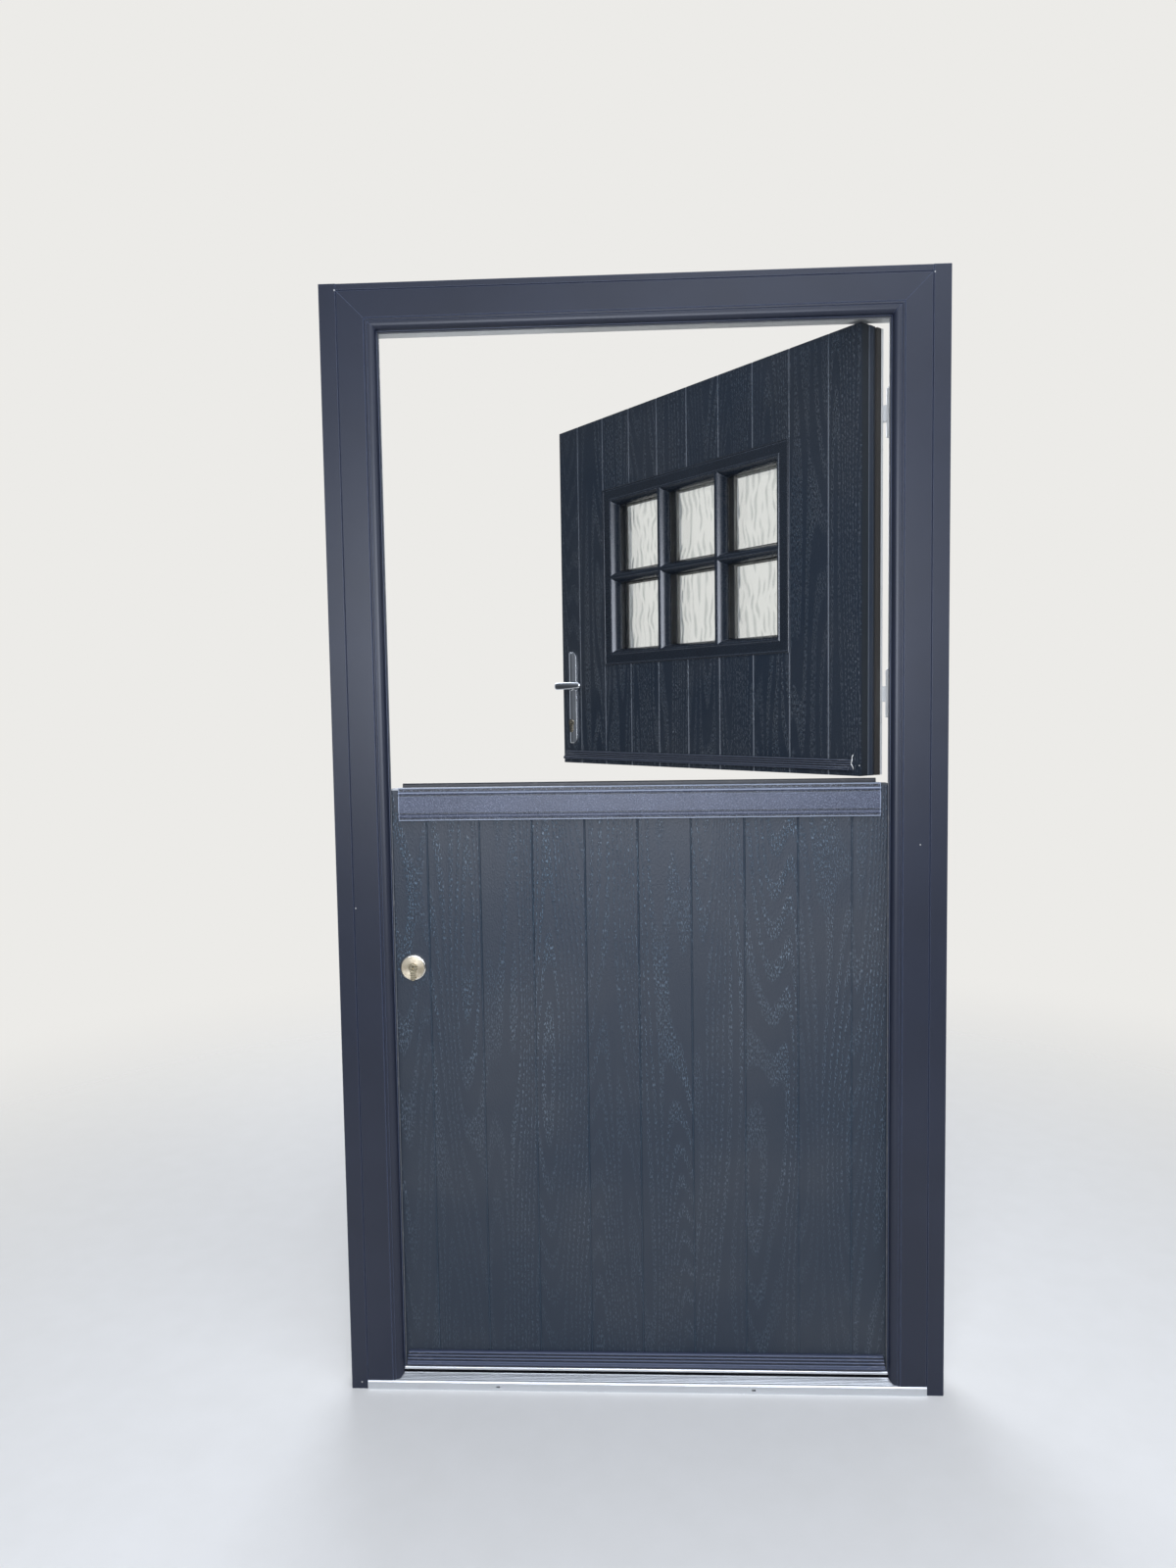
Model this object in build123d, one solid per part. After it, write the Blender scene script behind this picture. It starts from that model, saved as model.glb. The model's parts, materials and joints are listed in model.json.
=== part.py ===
from build123d import *
import os
from math import cos, radians, sqrt

# Dutch stable door: an upper and a lower leaf hung one above the other in one frame, opening inwards.
# Millimetres. +X is to the right seen from outside, +Y goes into the building, +Z is up.
# The origin is on the floor, midway between the jambs, in the outside face of the frame.
# The upper leaf is drawn shut and is turned about its hinge line at the end.

# Outer frame
FRAME_W = 1076.0  # over the jambs, without the extension profiles
FRAME_H = 2084.0  # floor to the top of the head
SIGHTLINE = 71.0  # outer edge of the profile to its lip
LIP_SET = 1.0  # lip stands this much past the quarter round
OVOLO_R = 11.0
OVOLO_QUIRK_W = 4.5  # flat between the quarter round and the bead
OVOLO_QUIRK_D = 2.0  # depth of that flat behind the face
FRAME_BEAD_W = 4.5
FRAME_BEAD_D = 1.2  # bead's springing line behind the face
FRAME_GROOVE_W = 1.0
STOP_REAR_Y = 19.0  # rear face of the stop, where the seal sits
REBATE_W = 14.0  # lip to rebate floor
EDGE_CHAMFER = 1.2  # on the long outside corners
FOOT_R = 16.5  # rounding of a jamb's foot, over the threshold
FRAME_WALL = 2.8
STEEL_CHAMBER_Y0 = 26.0
STEEL_CHAMBER_Y1 = 70.0
STEEL_CHAMBER_W = 34.0
STEEL_WALL = 2.0
STEEL_GAP = 0.3
STEEL_END_GAP = 12.0

# Extension profiles round the frame
EXTENDER_SIDE_W = 32.0
EXTENDER_HEAD_H = 12.0
EXTENDER_WALL = 2.5

# Threshold
THRESHOLD_NOSE = 2.0  # stands this far in front of the frame
THRESHOLD_NOSE_R = 5.0
THRESHOLD_FRONT_H = 18.0
THRESHOLD_SLOPE_RISE = 7.5
THRESHOLD_SLOPE_Y1 = 13.0  # where the slope meets the upstand
THRESHOLD_STOP_H = 38.0
THRESHOLD_BACK_H = 19.0
THRESHOLD_WALL = 2.2
THRESHOLD_RIBS = 4
THRESHOLD_RIB_W = 1.0  # groove between two ribs
THRESHOLD_RIB_D = 0.9
UPSTAND_GROOVE_H = 6.0
UPSTAND_GROOVE_D = 3.2
UPSTAND_GROOVE_UP = 1.0  # above the slope
DRAIN_X = (-283.0, 210.0)
DRAIN_Z = 7.0
DRAIN_W = 7.0
DRAIN_H = 3.0

# Leaves
SLAB_T = 66.0
SLAB_SET = 5.0  # its face behind the stop
SIDE_GAP = 5.0  # leaf's side to the rebate floor
HEAD_GAP = 7.0  # upper leaf's top to the rebate floor
FLOOR_GAP = 6.0  # lower leaf's foot to the threshold
LEAVES_GAP = 14.0  # between the leaves
BOTTOM_SLAB_Z1 = 1168.0  # top of the lower leaf
PLANK_PITCH = 100.0
PLANK_GROOVES = 9
GROOVE_W = 4.0
GROOVE_D = 2.0
EDGE_GROOVES = ((24.0, 2.5, 1.5), (37.0, 3.0, 1.5), (44.0, 6.0, 3.0), (58.5, 1.5, 1.0))  # back, width, depth

# Seals
SEAL_CLEAR = 0.3  # soft seal to what it closes on
SEAL_W = 8.0
SEAL_PROUD = 2.0  # shows this far past the lip
MEETING_SEAL_BACK = 16.0  # its front edge behind the slab's face
MEETING_SEAL_W = 12.0
MEETING_SEAL_FOOT = 2.0
MEETING_SEAL_BULB_R = 3.6
MEETING_SEAL_END = 28.0  # its end from the slab's side
MEETING_GAP = 2.2  # top of the strip to the upper leaf

# Hinges
HINGE_PIN_OUT = 5.6  # pin's axis past the rebate floor
HINGE_BACK = 9.0  # pin's axis behind the leaf's inside face
TOP_LEAF_OPEN = 50.3  # degrees, as it stands
HINGE_H = 90.0
HINGE_KNUCKLES = 3
HINGE_KNUCKLE_GAP = 0.3
HINGE_BARREL_R = 8.0
HINGE_PIN_R = 4.0
HINGE_PIN_CLEAR = 0.05
HINGE_PIN_HEAD_R = 6.0
HINGE_PIN_HEAD_H = 3.0
HINGE_PIN_HEAD_EDGE_R = 1.5
HINGE_PLATE_T = 4.0
HINGE_ARM_W = 12.0
HINGE_PLATE_OUT = 15.0  # frame plate's edge past the rebate floor
HINGE_FRAME_PLATE_W = 36.0
HINGE_LEAF_PLATE_W = 62.0
HINGE_LEAF_INSET = 4.0  # leaf plate's edge from the leaf's side
HINGE_CORNER_R = 4.0
HINGE_FROM_END = 110.0  # leaf's end to the hinge's near end
HINGE_SCREW_END = 15.0  # plate's end to its first screw
HINGE_SCREWS = 3
SCREW_SHANK_R = 2.2
SCREW_HEAD_R = 4.2
SCREW_HEAD_H = 2.4
SCREW_LENGTH = 32.0
SCREW_CLEAR = 0.05

# Window in the upper leaf
CASSETTE_W = 600.0
CASSETTE_H = 424.0
CASSETTE_DOWN = 172.0  # upper leaf's top to the cassette
CASSETTE_PROUD = 3.0
CASSETTE_FACE_W = 30.0
CASSETTE_BEAD_W = 5.0
CASSETTE_FIELD_D = 1.4  # flat field behind the ridge
CASSETTE_LAP = 15.0  # over the slab's cut edge
CASSETTE_FIT = 0.5
MOULD_RIDGE_W = 3.5  # flat ridge, half of a glazing bar's
MOULD_RUN = 10.0  # ridge to the foot of the moulding
MOULD_STEP = 2.0  # square steps above and below its curve
MOULD_SWELL = 2.2
BAR_PITCH = 186.0  # between the two upright glazing bars
PANE_T = 4.0
PANE_BACK = 22.0  # outer pane behind the slab's face
PANE_EDGE = 4.0
SPACER_T = 20.0
SPACER_W = 12.0
SPACER_BAR_W = 18.0

# Meeting rail on the lower leaf
RAIL_END_IN = 26.0  # its end from the leaf's side
RAIL_CAP_T = 2.0
RAIL_OVER_SLAB = 5.0
RAIL_PROUD = 16.0
RAIL_WALL = 2.5
RAIL_EDGE_H = 1.8
RAIL_BEAD_TOP_H = 6.0
RAIL_BEAD_LOW_H = 7.0
RAIL_QUIRK_TOP_H = 5.2
RAIL_QUIRK_LOW_H = 3.0
RAIL_FLAT_H = 31.0
RAIL_LINE_H = 3.0
RAIL_QUIRK_D = 3.0
RAIL_BEAD_RISE = 2.0

# Rain bars
BAR_END_IN = 16.0  # their ends from the leaf's side
BOTTOM_BAR_UP = 24.0  # above the leaf's foot
BOTTOM_BAR_H = 17.0
BOTTOM_BAR_PROUD = 24.0
TOP_BAR_UP = 11.0  # above the leaf's foot
TOP_BAR_H = 21.0
TOP_BAR_PROUD = 15.0
BAR_NOSE_H = 4.0
BAR_TOP_PROUD = 4.0
BAR_RIBS = 3
BAR_RIB_D = 1.2
BAR_RIB_W = 1.6
BAR_DRIP_W = 4.0
BAR_DRIP_D = 2.0
BAR_DRIP_SET = 2.0  # drip groove behind the nose

# Locks and handles
BACKSET = 44.0
LEVER_UP = 195.0  # above the upper leaf's foot
LEVER_TO_CYLINDER = 92.0
BOTTOM_CYLINDER_DOWN = 340.0  # under the lower leaf's top
RUN_CLEAR = 0.05
PLATE_W = 30.0
PLATE_H = 235.0
PLATE_T = 8.0
PLATE_UP = 17.0  # plate's middle above the midpoint of lever and cylinder
PLATE_EDGE_T = 2.5  # at its long edges
PLATE_END_RUN = 11.0  # its ends fall off over this length
ESCUTCHEON_R = 25.0
ESCUTCHEON_T = 7.0
ESCUTCHEON_EDGE_R = 3.0
LEVER_PROJECTION = 50.0  # plate to the middle of the grip
LEVER_LENGTH = 106.0
LEVER_ROOT_H = 18.0
LEVER_TIP_H = 13.0
LEVER_GRIP_T = 11.0
LEVER_EDGE_R = 3.0
LEVER_NECK_R = 8.5
LEVER_CLEAR = 0.3  # neck's end to the slab
SPINDLE_HOLE_R = 9.5
SPINDLE_A = 8.0  # across the flats
SPINDLE_BITE = 22.0
SPINDLE_END_GAP = 1.0
CYLINDER_R = 8.5
CYLINDER_SLOT_W = 10.0
CYLINDER_H = 33.0
CYLINDER_PROUD = 2.5
CYLINDER_CLEAR = 0.3
PLUG_R = 6.5
KEYWAY_W = 1.8
KEYWAY_H = 9.0
KEYWAY_D = 12.0
TURN_W = 24.0
TURN_H = 12.0
TURN_STEM = 6.0
TURN_D = 16.0
FACEPLATE_W = 20.0
FACEPLATE_T = 3.0
FACEPLATE_H = 235.0
CASE_T = 16.0
CASE_DEPTH = 62.0
CASE_WALL = 1.6
CASE_OVER_LEVER = 52.0
CASE_OVER_CYLINDER = 78.0
CASE_UNDER_CYLINDER = 40.0
CASE_CLEAR = 0.3
FOLLOWER_HUB_R = 8.4
FOLLOWER_R = 12.0
FOLLOWER_LUG_R = 17.0
FOLLOWER_LUG_W = 6.0
LATCH_UP = 32.0  # latch's middle above the lever
LATCH_H = 24.0
LATCH_T = 11.0
LATCH_THROW = 12.0
LATCH_BACK = 34.0
DEADBOLT_UP = 34.0  # deadbolt's middle above the cylinder
DEADBOLT_H = 28.0
DEADBOLT_T = 11.0
DEADBOLT_BACK = 34.0
BOLT_CLEAR = 0.3
KEEP_T = 2.0
KEEP_W = 24.0
KEEP_MARGIN = 14.0
KEEP_POCKET_MARGIN = 7.0
KEEP_GAP = 1.3  # window round a bolt
KEEP_DEPTH = 17.0

# Bolt that joins the two leaves, on the inside
COUPLER_IN = 96.0  # rod's axis from the leaf's lock side
COUPLER_ROD_R = 6.0
COUPLER_ROD_CLEAR = 0.1
COUPLER_ROD_LEN = 120.0
COUPLER_STANDOFF = 12.0  # rod's axis from the leaf's inside face
COUPLER_PLATE_W = 38.0
COUPLER_PLATE_H = 110.0
COUPLER_PLATE_T = 2.5
COUPLER_GUIDE_R = 10.0
COUPLER_GUIDE_H = 14.0
COUPLER_SCREW_IN = 38.0  # plate's end to its screws
COUPLER_KNOB_R = 7.0
COUPLER_KNOB_REACH = 20.0  # rod's axis to the middle of the knob
COUPLER_STEM_R = 3.5
COUPLER_KNOB_DROP = 9.0  # under the upper guide
COUPLER_END_INSET = 4.0
COUPLER_KEEP_H = 22.0
COUPLER_KEEP_DROP = 8.0
COUPLER_KEEP_CLEAR = 0.4
COUPLER_WING_W = 17.0
COUPLER_WING_SCREW = 8.0

# Fixing holes through the jambs
FIXING_R = 4.2
FIXING_Y = 48.0
FIXING_UP = (200.0, 750.0, 1350.0)  # above the floor
FIXING_DOWN = 184.0  # highest one under the head's top

# Worked out from the sizes above
HALF_FRAME = FRAME_W / 2
LIP_X = HALF_FRAME - SIGHTLINE
LIP_Z = FRAME_H - SIGHTLINE
FLOOR_X = LIP_X + REBATE_W
FLOOR_Z = LIP_Z + REBATE_W
HALF_SLAB = FLOOR_X - SIDE_GAP
SLAB_FRONT_Y = STOP_REAR_Y + SLAB_SET
SLAB_BACK_Y = SLAB_FRONT_Y + SLAB_T
FRAME_DEPTH = SLAB_BACK_Y  # the inside faces are flush
BOTTOM_SLAB_Z0 = THRESHOLD_BACK_H + FLOOR_GAP
TOP_SLAB_Z0 = BOTTOM_SLAB_Z1 + LEAVES_GAP
TOP_SLAB_Z1 = FLOOR_Z - HEAD_GAP
SLAB_MID_Y = SLAB_FRONT_Y + SLAB_T / 2
HINGE_X = FLOOR_X + HINGE_PIN_OUT
HINGE_Y = SLAB_BACK_Y + HINGE_BACK
HINGE_FRAME_PLATE_X0 = FLOOR_X + HINGE_PLATE_OUT
CASSETTE_Z = TOP_SLAB_Z1 - CASSETTE_DOWN - CASSETTE_H / 2
LOCK_X = BACKSET - HALF_SLAB
LEVER_Z = TOP_SLAB_Z0 + LEVER_UP
CYLINDER_Z = LEVER_Z - LEVER_TO_CYLINDER
PLATE_Z = LEVER_Z - LEVER_TO_CYLINDER / 2 + PLATE_UP
BOTTOM_CYLINDER_Z = BOTTOM_SLAB_Z1 - BOTTOM_CYLINDER_DOWN
BOTTOM_BAR_Z0 = BOTTOM_SLAB_Z0 + BOTTOM_BAR_UP
TOP_BAR_Z0 = TOP_SLAB_Z0 + TOP_BAR_UP
PANE_FRONT_Y = SLAB_FRONT_Y + PANE_BACK
PANE_BACK_Y = PANE_FRONT_Y + 2 * PANE_T + SPACER_T
RAIL_TOP = BOTTOM_SLAB_Z1 + RAIL_OVER_SLAB
RAIL_H = (
    2 * RAIL_EDGE_H
    + RAIL_QUIRK_TOP_H
    + RAIL_BEAD_TOP_H
    + 2 * RAIL_LINE_H
    + RAIL_FLAT_H
    + RAIL_BEAD_LOW_H
    + RAIL_QUIRK_LOW_H
)
COUPLER_X = COUPLER_IN - HALF_SLAB
COUPLER_PLATE_Z0 = TOP_SLAB_Z0 + COUPLER_END_INSET
COUPLER_Y = SLAB_BACK_Y + COUPLER_STANDOFF
COUPLER_KEEP_Z1 = BOTTOM_SLAB_Z1 - COUPLER_KEEP_DROP
CUT = 2.0  # a cutter runs this far past what it cuts

parts = {}


# Basic solids


def box(x0, x1, y0, y1, z0, z1):
    centre = Location(((x0 + x1) / 2, (y0 + y1) / 2, (z0 + z1) / 2))
    return centre * Box(abs(x1 - x0), abs(y1 - y0), abs(z1 - z0))


def bar_x(y, z, radius, x0, x1):
    return Location(((x0 + x1) / 2, y, z)) * Rotation(0, 90, 0) * Cylinder(radius, abs(x1 - x0))


def bar_y(x, z, radius, y0, y1):
    return Location((x, (y0 + y1) / 2, z)) * Rotation(90, 0, 0) * Cylinder(radius, abs(y1 - y0))


def bar_z(x, y, radius, z0, z1):
    return Location((x, y, (z0 + z1) / 2)) * Cylinder(radius, abs(z1 - z0))


def run_z(face, z0, z1):
    # a section in X and Y, drawn out along Z
    return Location((0, 0, z0)) * extrude(face, amount=z1 - z0)


def run_x(edges, x0, x1):
    # a closed outline in Y and Z, drawn at x = 0 and run along X
    return Location((x0, 0, 0)) * extrude(make_face(edges), amount=x1 - x0, dir=(1, 0, 0))


def run_y(points, y0, y1):
    # a closed outline in X and Z, run along Y
    outline = Polyline(*[(x, y0, z) for x, z in points], close=True)
    return extrude(make_face(outline), amount=y1 - y0, dir=(0, 1, 0))


def outline_xy(*points):
    return make_face(Polyline(*points, close=True))


def on_x0(points):
    # points in Y and Z, set at x = 0
    return [(0, y, z) for y, z in points]


def mirror_x(shape):
    return mirror(shape, about=Plane.YZ)


def whole(shape):
    # the plain solid, or the group of solids, in a result
    found = shape.solids()
    return found[0] if len(found) == 1 else Compound(children=list(found))


# Frame


def frame_chambers():
    # hollow chambers at the right-hand jamb as x0, x1, y0, y1; the second one holds the steel
    wall = FRAME_WALL
    x_in = FLOOR_X + wall
    x_out = HALF_FRAME - wall
    x_steel = x_out - STEEL_CHAMBER_W
    y_in = FRAME_DEPTH - wall
    return (
        (x_in, x_out, wall, STEEL_CHAMBER_Y0 - wall),
        (x_steel, x_out, STEEL_CHAMBER_Y0, STEEL_CHAMBER_Y1),
        (x_in, x_steel - wall, STEEL_CHAMBER_Y0, y_in),
        (x_steel, x_out, STEEL_CHAMBER_Y1 + wall, y_in),
    )


def frame_section():
    # right-hand jamb in X and Y: face, groove, bead, quirk, quarter round, lip, stop and rebate
    x_round = LIP_X + LIP_SET
    x_crest = x_round + OVOLO_R
    x_bead = x_crest + OVOLO_QUIRK_W
    x_groove = x_bead + FRAME_BEAD_W
    x_face = x_groove + FRAME_GROOVE_W
    y_spring = OVOLO_QUIRK_D + OVOLO_R
    turn = OVOLO_R * cos(radians(45))
    outside = Polyline(
        (x_round, y_spring),
        (LIP_X, y_spring),
        (LIP_X, STOP_REAR_Y),
        (FLOOR_X, STOP_REAR_Y),
        (FLOOR_X, FRAME_DEPTH),
        (HALF_FRAME, FRAME_DEPTH),
        (HALF_FRAME, EDGE_CHAMFER),
        (HALF_FRAME - EDGE_CHAMFER, 0),
        (x_face, 0),
        (x_groove, FRAME_BEAD_D),
    )
    bead = ThreePointArc((x_groove, FRAME_BEAD_D), ((x_groove + x_bead) / 2, 0), (x_bead, FRAME_BEAD_D))
    quirk = Polyline((x_bead, FRAME_BEAD_D), (x_bead, OVOLO_QUIRK_D), (x_crest, OVOLO_QUIRK_D))
    ovolo = ThreePointArc(
        (x_crest, OVOLO_QUIRK_D), (x_crest - turn, y_spring - turn), (x_round, y_spring)
    )
    face = make_face(outside.edges() + bead.edges() + quirk.edges() + ovolo.edges())
    for x0, x1, y0, y1 in frame_chambers():
        face = face - Location(((x0 + x1) / 2, (y0 + y1) / 2)) * Rectangle(x1 - x0, y1 - y0)
    return face


def laid_across(section):
    # the jamb's section laid over the opening, with its outside at the top
    upright = run_z(section, -HALF_FRAME, HALF_FRAME)
    return Location((0, 0, FRAME_H - HALF_FRAME)) * Rotation(0, -90, 0) * upright


def fixing_holes():
    x_end = HALF_FRAME + EXTENDER_SIDE_W + CUT
    return [bar_x(FIXING_Y, z, FIXING_R, LIP_X, x_end) for z in (*FIXING_UP, FRAME_H - FIXING_DOWN)]


def hinge_screw_holes():
    y = FRAME_DEPTH + HINGE_PLATE_T
    return [screw_hole(frame_screw_x(), y, z) for z0 in hinge_bottoms() for z in hinge_screw_heights(z0)]


def cut_all(body, cutters):
    for cutter in cutters:
        body = body - cutter
    return body


def foot_corner():
    # what the rounding of the right-hand jamb's foot takes off
    x1 = LIP_X + FOOT_R
    z1 = THRESHOLD_FRONT_H + FOOT_R
    corner = box(LIP_X - CUT, x1, -CUT, THRESHOLD_SLOPE_Y1, THRESHOLD_FRONT_H - CUT, z1)
    return corner - bar_y(x1, z1, FOOT_R, -2 * CUT, THRESHOLD_SLOPE_Y1 + CUT)


def jamb():
    # right-hand jamb, mitred at the head and scribed over the threshold
    to_mitre = [(LIP_X, 0), (HALF_FRAME, 0), (HALF_FRAME, FRAME_H), (LIP_X, LIP_Z)]
    body = run_z(frame_section(), 0, FRAME_H) & run_y(to_mitre, 0, FRAME_DEPTH)
    return cut_all(body - threshold_block() - foot_corner(), fixing_holes())


def head():
    mitres = [(-HALF_FRAME, FRAME_H), (HALF_FRAME, FRAME_H), (LIP_X, LIP_Z), (-LIP_X, LIP_Z)]
    return whole(laid_across(frame_section()) & run_y(mitres, 0, FRAME_DEPTH))


def keep_recess(low, high):
    # recess for a keep's plate and the pocket behind it, in the lock-side jamb
    half = KEEP_W / 2
    plate = box(
        -FLOOR_X - KEEP_T,
        -FLOOR_X + CUT,
        SLAB_MID_Y - half,
        SLAB_MID_Y + half,
        low - KEEP_MARGIN,
        high + KEEP_MARGIN,
    )
    pocket_half = half - KEEP_T
    pocket = box(
        -FLOOR_X - KEEP_DEPTH,
        -FLOOR_X,
        SLAB_MID_Y - pocket_half,
        SLAB_MID_Y + pocket_half,
        low - KEEP_POCKET_MARGIN,
        high + KEEP_POCKET_MARGIN,
    )
    return plate + pocket


def jamb_lock():
    recesses = [keep_recess(*top_keep_span()), keep_recess(*deadbolt_span(BOTTOM_CYLINDER_Z))]
    return whole(cut_all(mirror_x(jamb()), recesses))


def jamb_hinge():
    return whole(cut_all(jamb(), hinge_screw_holes()))


def steel_tube():
    # box section in the right-hand jamb
    x0, x1, y0, y1 = frame_chambers()[1]
    z0 = THRESHOLD_STOP_H + STEEL_END_GAP
    z1 = LIP_Z - STEEL_END_GAP
    gap = STEEL_GAP
    inset = gap + STEEL_WALL
    outer = box(x0 + gap, x1 - gap, y0 + gap, y1 - gap, z0, z1)
    inner = box(x0 + inset, x1 - inset, y0 + inset, y1 - inset, z0 - CUT, z1 + CUT)
    return cut_all(outer - inner, fixing_holes())


def extender_side():
    # hollow extension profile beside the right-hand jamb, up to the top of the one on the head
    x0 = HALF_FRAME
    x1 = HALF_FRAME + EXTENDER_SIDE_W
    face = outline_xy(
        (x0, EDGE_CHAMFER),
        (x0 + EDGE_CHAMFER, 0),
        (x1 - EDGE_CHAMFER, 0),
        (x1, EDGE_CHAMFER),
        (x1, FRAME_DEPTH),
        (x0, FRAME_DEPTH),
    )
    for y0, y1 in extender_chambers():
        hollow = Rectangle(EXTENDER_SIDE_W - 2 * EXTENDER_WALL, y1 - y0)
        face = face - Location(((x0 + x1) / 2, (y0 + y1) / 2)) * hollow
    return cut_all(run_z(face, 0, FRAME_H + EXTENDER_HEAD_H), fixing_holes())


def extender_chambers():
    # two chambers with a web between them, as y0, y1
    wall = EXTENDER_WALL
    deep = (FRAME_DEPTH - 3 * wall) / 2
    return ((wall, wall + deep), (2 * wall + deep, FRAME_DEPTH - wall))


def extender_head():
    z0 = FRAME_H
    z1 = FRAME_H + EXTENDER_HEAD_H
    points = [
        (0, z0 + EDGE_CHAMFER),
        (EDGE_CHAMFER, z0),
        (FRAME_DEPTH, z0),
        (FRAME_DEPTH, z1),
        (EDGE_CHAMFER, z1),
        (0, z1 - EDGE_CHAMFER),
    ]
    body = run_x(Polyline(*on_x0(points), close=True).edges(), -HALF_FRAME, HALF_FRAME)
    for y0, y1 in extender_chambers():
        body = body - box(-HALF_FRAME, HALF_FRAME, y0, y1, z0 + EXTENDER_WALL, z1 - EXTENDER_WALL)
    return whole(body)


# Threshold


def threshold_block():
    # outline of the threshold without its grooves and hollows
    front = -THRESHOLD_NOSE
    nose_y = front + THRESHOLD_NOSE_R
    nose_z = THRESHOLD_FRONT_H - THRESHOLD_NOSE_R
    turn = THRESHOLD_NOSE_R * cos(radians(45))
    nose = ThreePointArc(
        (0, front, nose_z), (0, nose_y - turn, nose_z + turn), (0, nose_y, THRESHOLD_FRONT_H)
    )
    stop_r = (STOP_REAR_Y - THRESHOLD_SLOPE_Y1) / 2
    crown_z = THRESHOLD_STOP_H - stop_r
    crown = ThreePointArc(
        (0, THRESHOLD_SLOPE_Y1, crown_z),
        (0, THRESHOLD_SLOPE_Y1 + stop_r, THRESHOLD_STOP_H),
        (0, STOP_REAR_Y, crown_z),
    )
    slope_top = THRESHOLD_FRONT_H + THRESHOLD_SLOPE_RISE
    slope = Polyline(
        *on_x0([(nose_y, THRESHOLD_FRONT_H), (THRESHOLD_SLOPE_Y1, slope_top), (THRESHOLD_SLOPE_Y1, crown_z)])
    )
    rest = Polyline(
        *on_x0(
            [
                (STOP_REAR_Y, crown_z),
                (STOP_REAR_Y, THRESHOLD_BACK_H),
                (FRAME_DEPTH, THRESHOLD_BACK_H),
                (FRAME_DEPTH, 0),
                (front, 0),
                (front, nose_z),
            ]
        )
    )
    return run_x(nose.edges() + slope.edges() + crown.edges() + rest.edges(), -HALF_FRAME, HALF_FRAME)


def threshold():
    # extruded threshold with a ribbed slope, a grooved upstand and two drainage chambers
    body = threshold_block()
    wall = THRESHOLD_WALL
    slope_y0 = THRESHOLD_NOSE_R - THRESHOLD_NOSE
    run = THRESHOLD_SLOPE_Y1 - slope_y0
    pitch = run / (THRESHOLD_RIBS + 1)
    for k in range(THRESHOLD_RIBS):
        y = slope_y0 + pitch * (k + 1)
        z = THRESHOLD_FRONT_H + THRESHOLD_SLOPE_RISE * (y - slope_y0) / run
        half = THRESHOLD_RIB_W / 2
        body = body - box(-HALF_FRAME, HALF_FRAME, y - half, y + half, z - THRESHOLD_RIB_D, z + CUT)
    groove_z = THRESHOLD_FRONT_H + THRESHOLD_SLOPE_RISE + UPSTAND_GROOVE_UP
    groove_y = THRESHOLD_SLOPE_Y1 + UPSTAND_GROOVE_D
    body = body - box(-HALF_FRAME, HALF_FRAME, slope_y0, groove_y, groove_z, groove_z + UPSTAND_GROOVE_H)
    front_top = THRESHOLD_FRONT_H - THRESHOLD_RIB_D - wall
    back_top = THRESHOLD_BACK_H - wall
    body = body - box(-HALF_FRAME, HALF_FRAME, wall - THRESHOLD_NOSE, STOP_REAR_Y - wall, wall, front_top)
    body = body - box(-HALF_FRAME, HALF_FRAME, STOP_REAR_Y, FRAME_DEPTH - wall, wall, back_top)
    half_w = DRAIN_W / 2
    low = DRAIN_Z - DRAIN_H / 2
    for x in DRAIN_X:
        body = body - box(x - half_w, x + half_w, -THRESHOLD_NOSE - CUT, wall, low, low + DRAIN_H)
    return whole(body)


# Seals


def seal_section():
    # bulb on the rear face of the right-hand stop
    x0 = LIP_X - SEAL_PROUD
    x1 = x0 + SEAL_W
    bulb = ThreePointArc((x0, STOP_REAR_Y), ((x0 + x1) / 2, SLAB_FRONT_Y - SEAL_CLEAR), (x1, STOP_REAR_Y))
    return make_face(bulb.edges() + Line((x1, STOP_REAR_Y), (x0, STOP_REAR_Y)).edges())


def seal_jamb():
    x0 = LIP_X - SEAL_PROUD
    x1 = x0 + SEAL_W
    z1 = LIP_Z - SEAL_PROUD
    to_mitre = [(x0, THRESHOLD_STOP_H), (x1, THRESHOLD_STOP_H), (x1, z1 + SEAL_W), (x0, z1)]
    return whole(run_z(seal_section(), 0, FRAME_H) & run_y(to_mitre, 0, FRAME_DEPTH))


def seal_head():
    x0 = LIP_X - SEAL_PROUD
    x1 = x0 + SEAL_W
    z0 = LIP_Z - SEAL_PROUD
    z1 = z0 + SEAL_W
    mitres = [(-x0, z0), (x0, z0), (x1, z1), (-x1, z1)]
    return whole(laid_across(seal_section()) & run_y(mitres, 0, FRAME_DEPTH))


def seal_threshold():
    # strip on the rear of the threshold's upstand
    z0 = BOTTOM_SLAB_Z0 + SEAL_CLEAR
    z1 = THRESHOLD_STOP_H - (STOP_REAR_Y - THRESHOLD_SLOPE_Y1) / 2
    low = (0, STOP_REAR_Y, z0)
    high = (0, STOP_REAR_Y, z1)
    bulb = ThreePointArc(low, (0, SLAB_FRONT_Y - SEAL_CLEAR, (z0 + z1) / 2), high)
    return whole(run_x(bulb.edges() + Line(high, low).edges(), -LIP_X, LIP_X))


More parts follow.
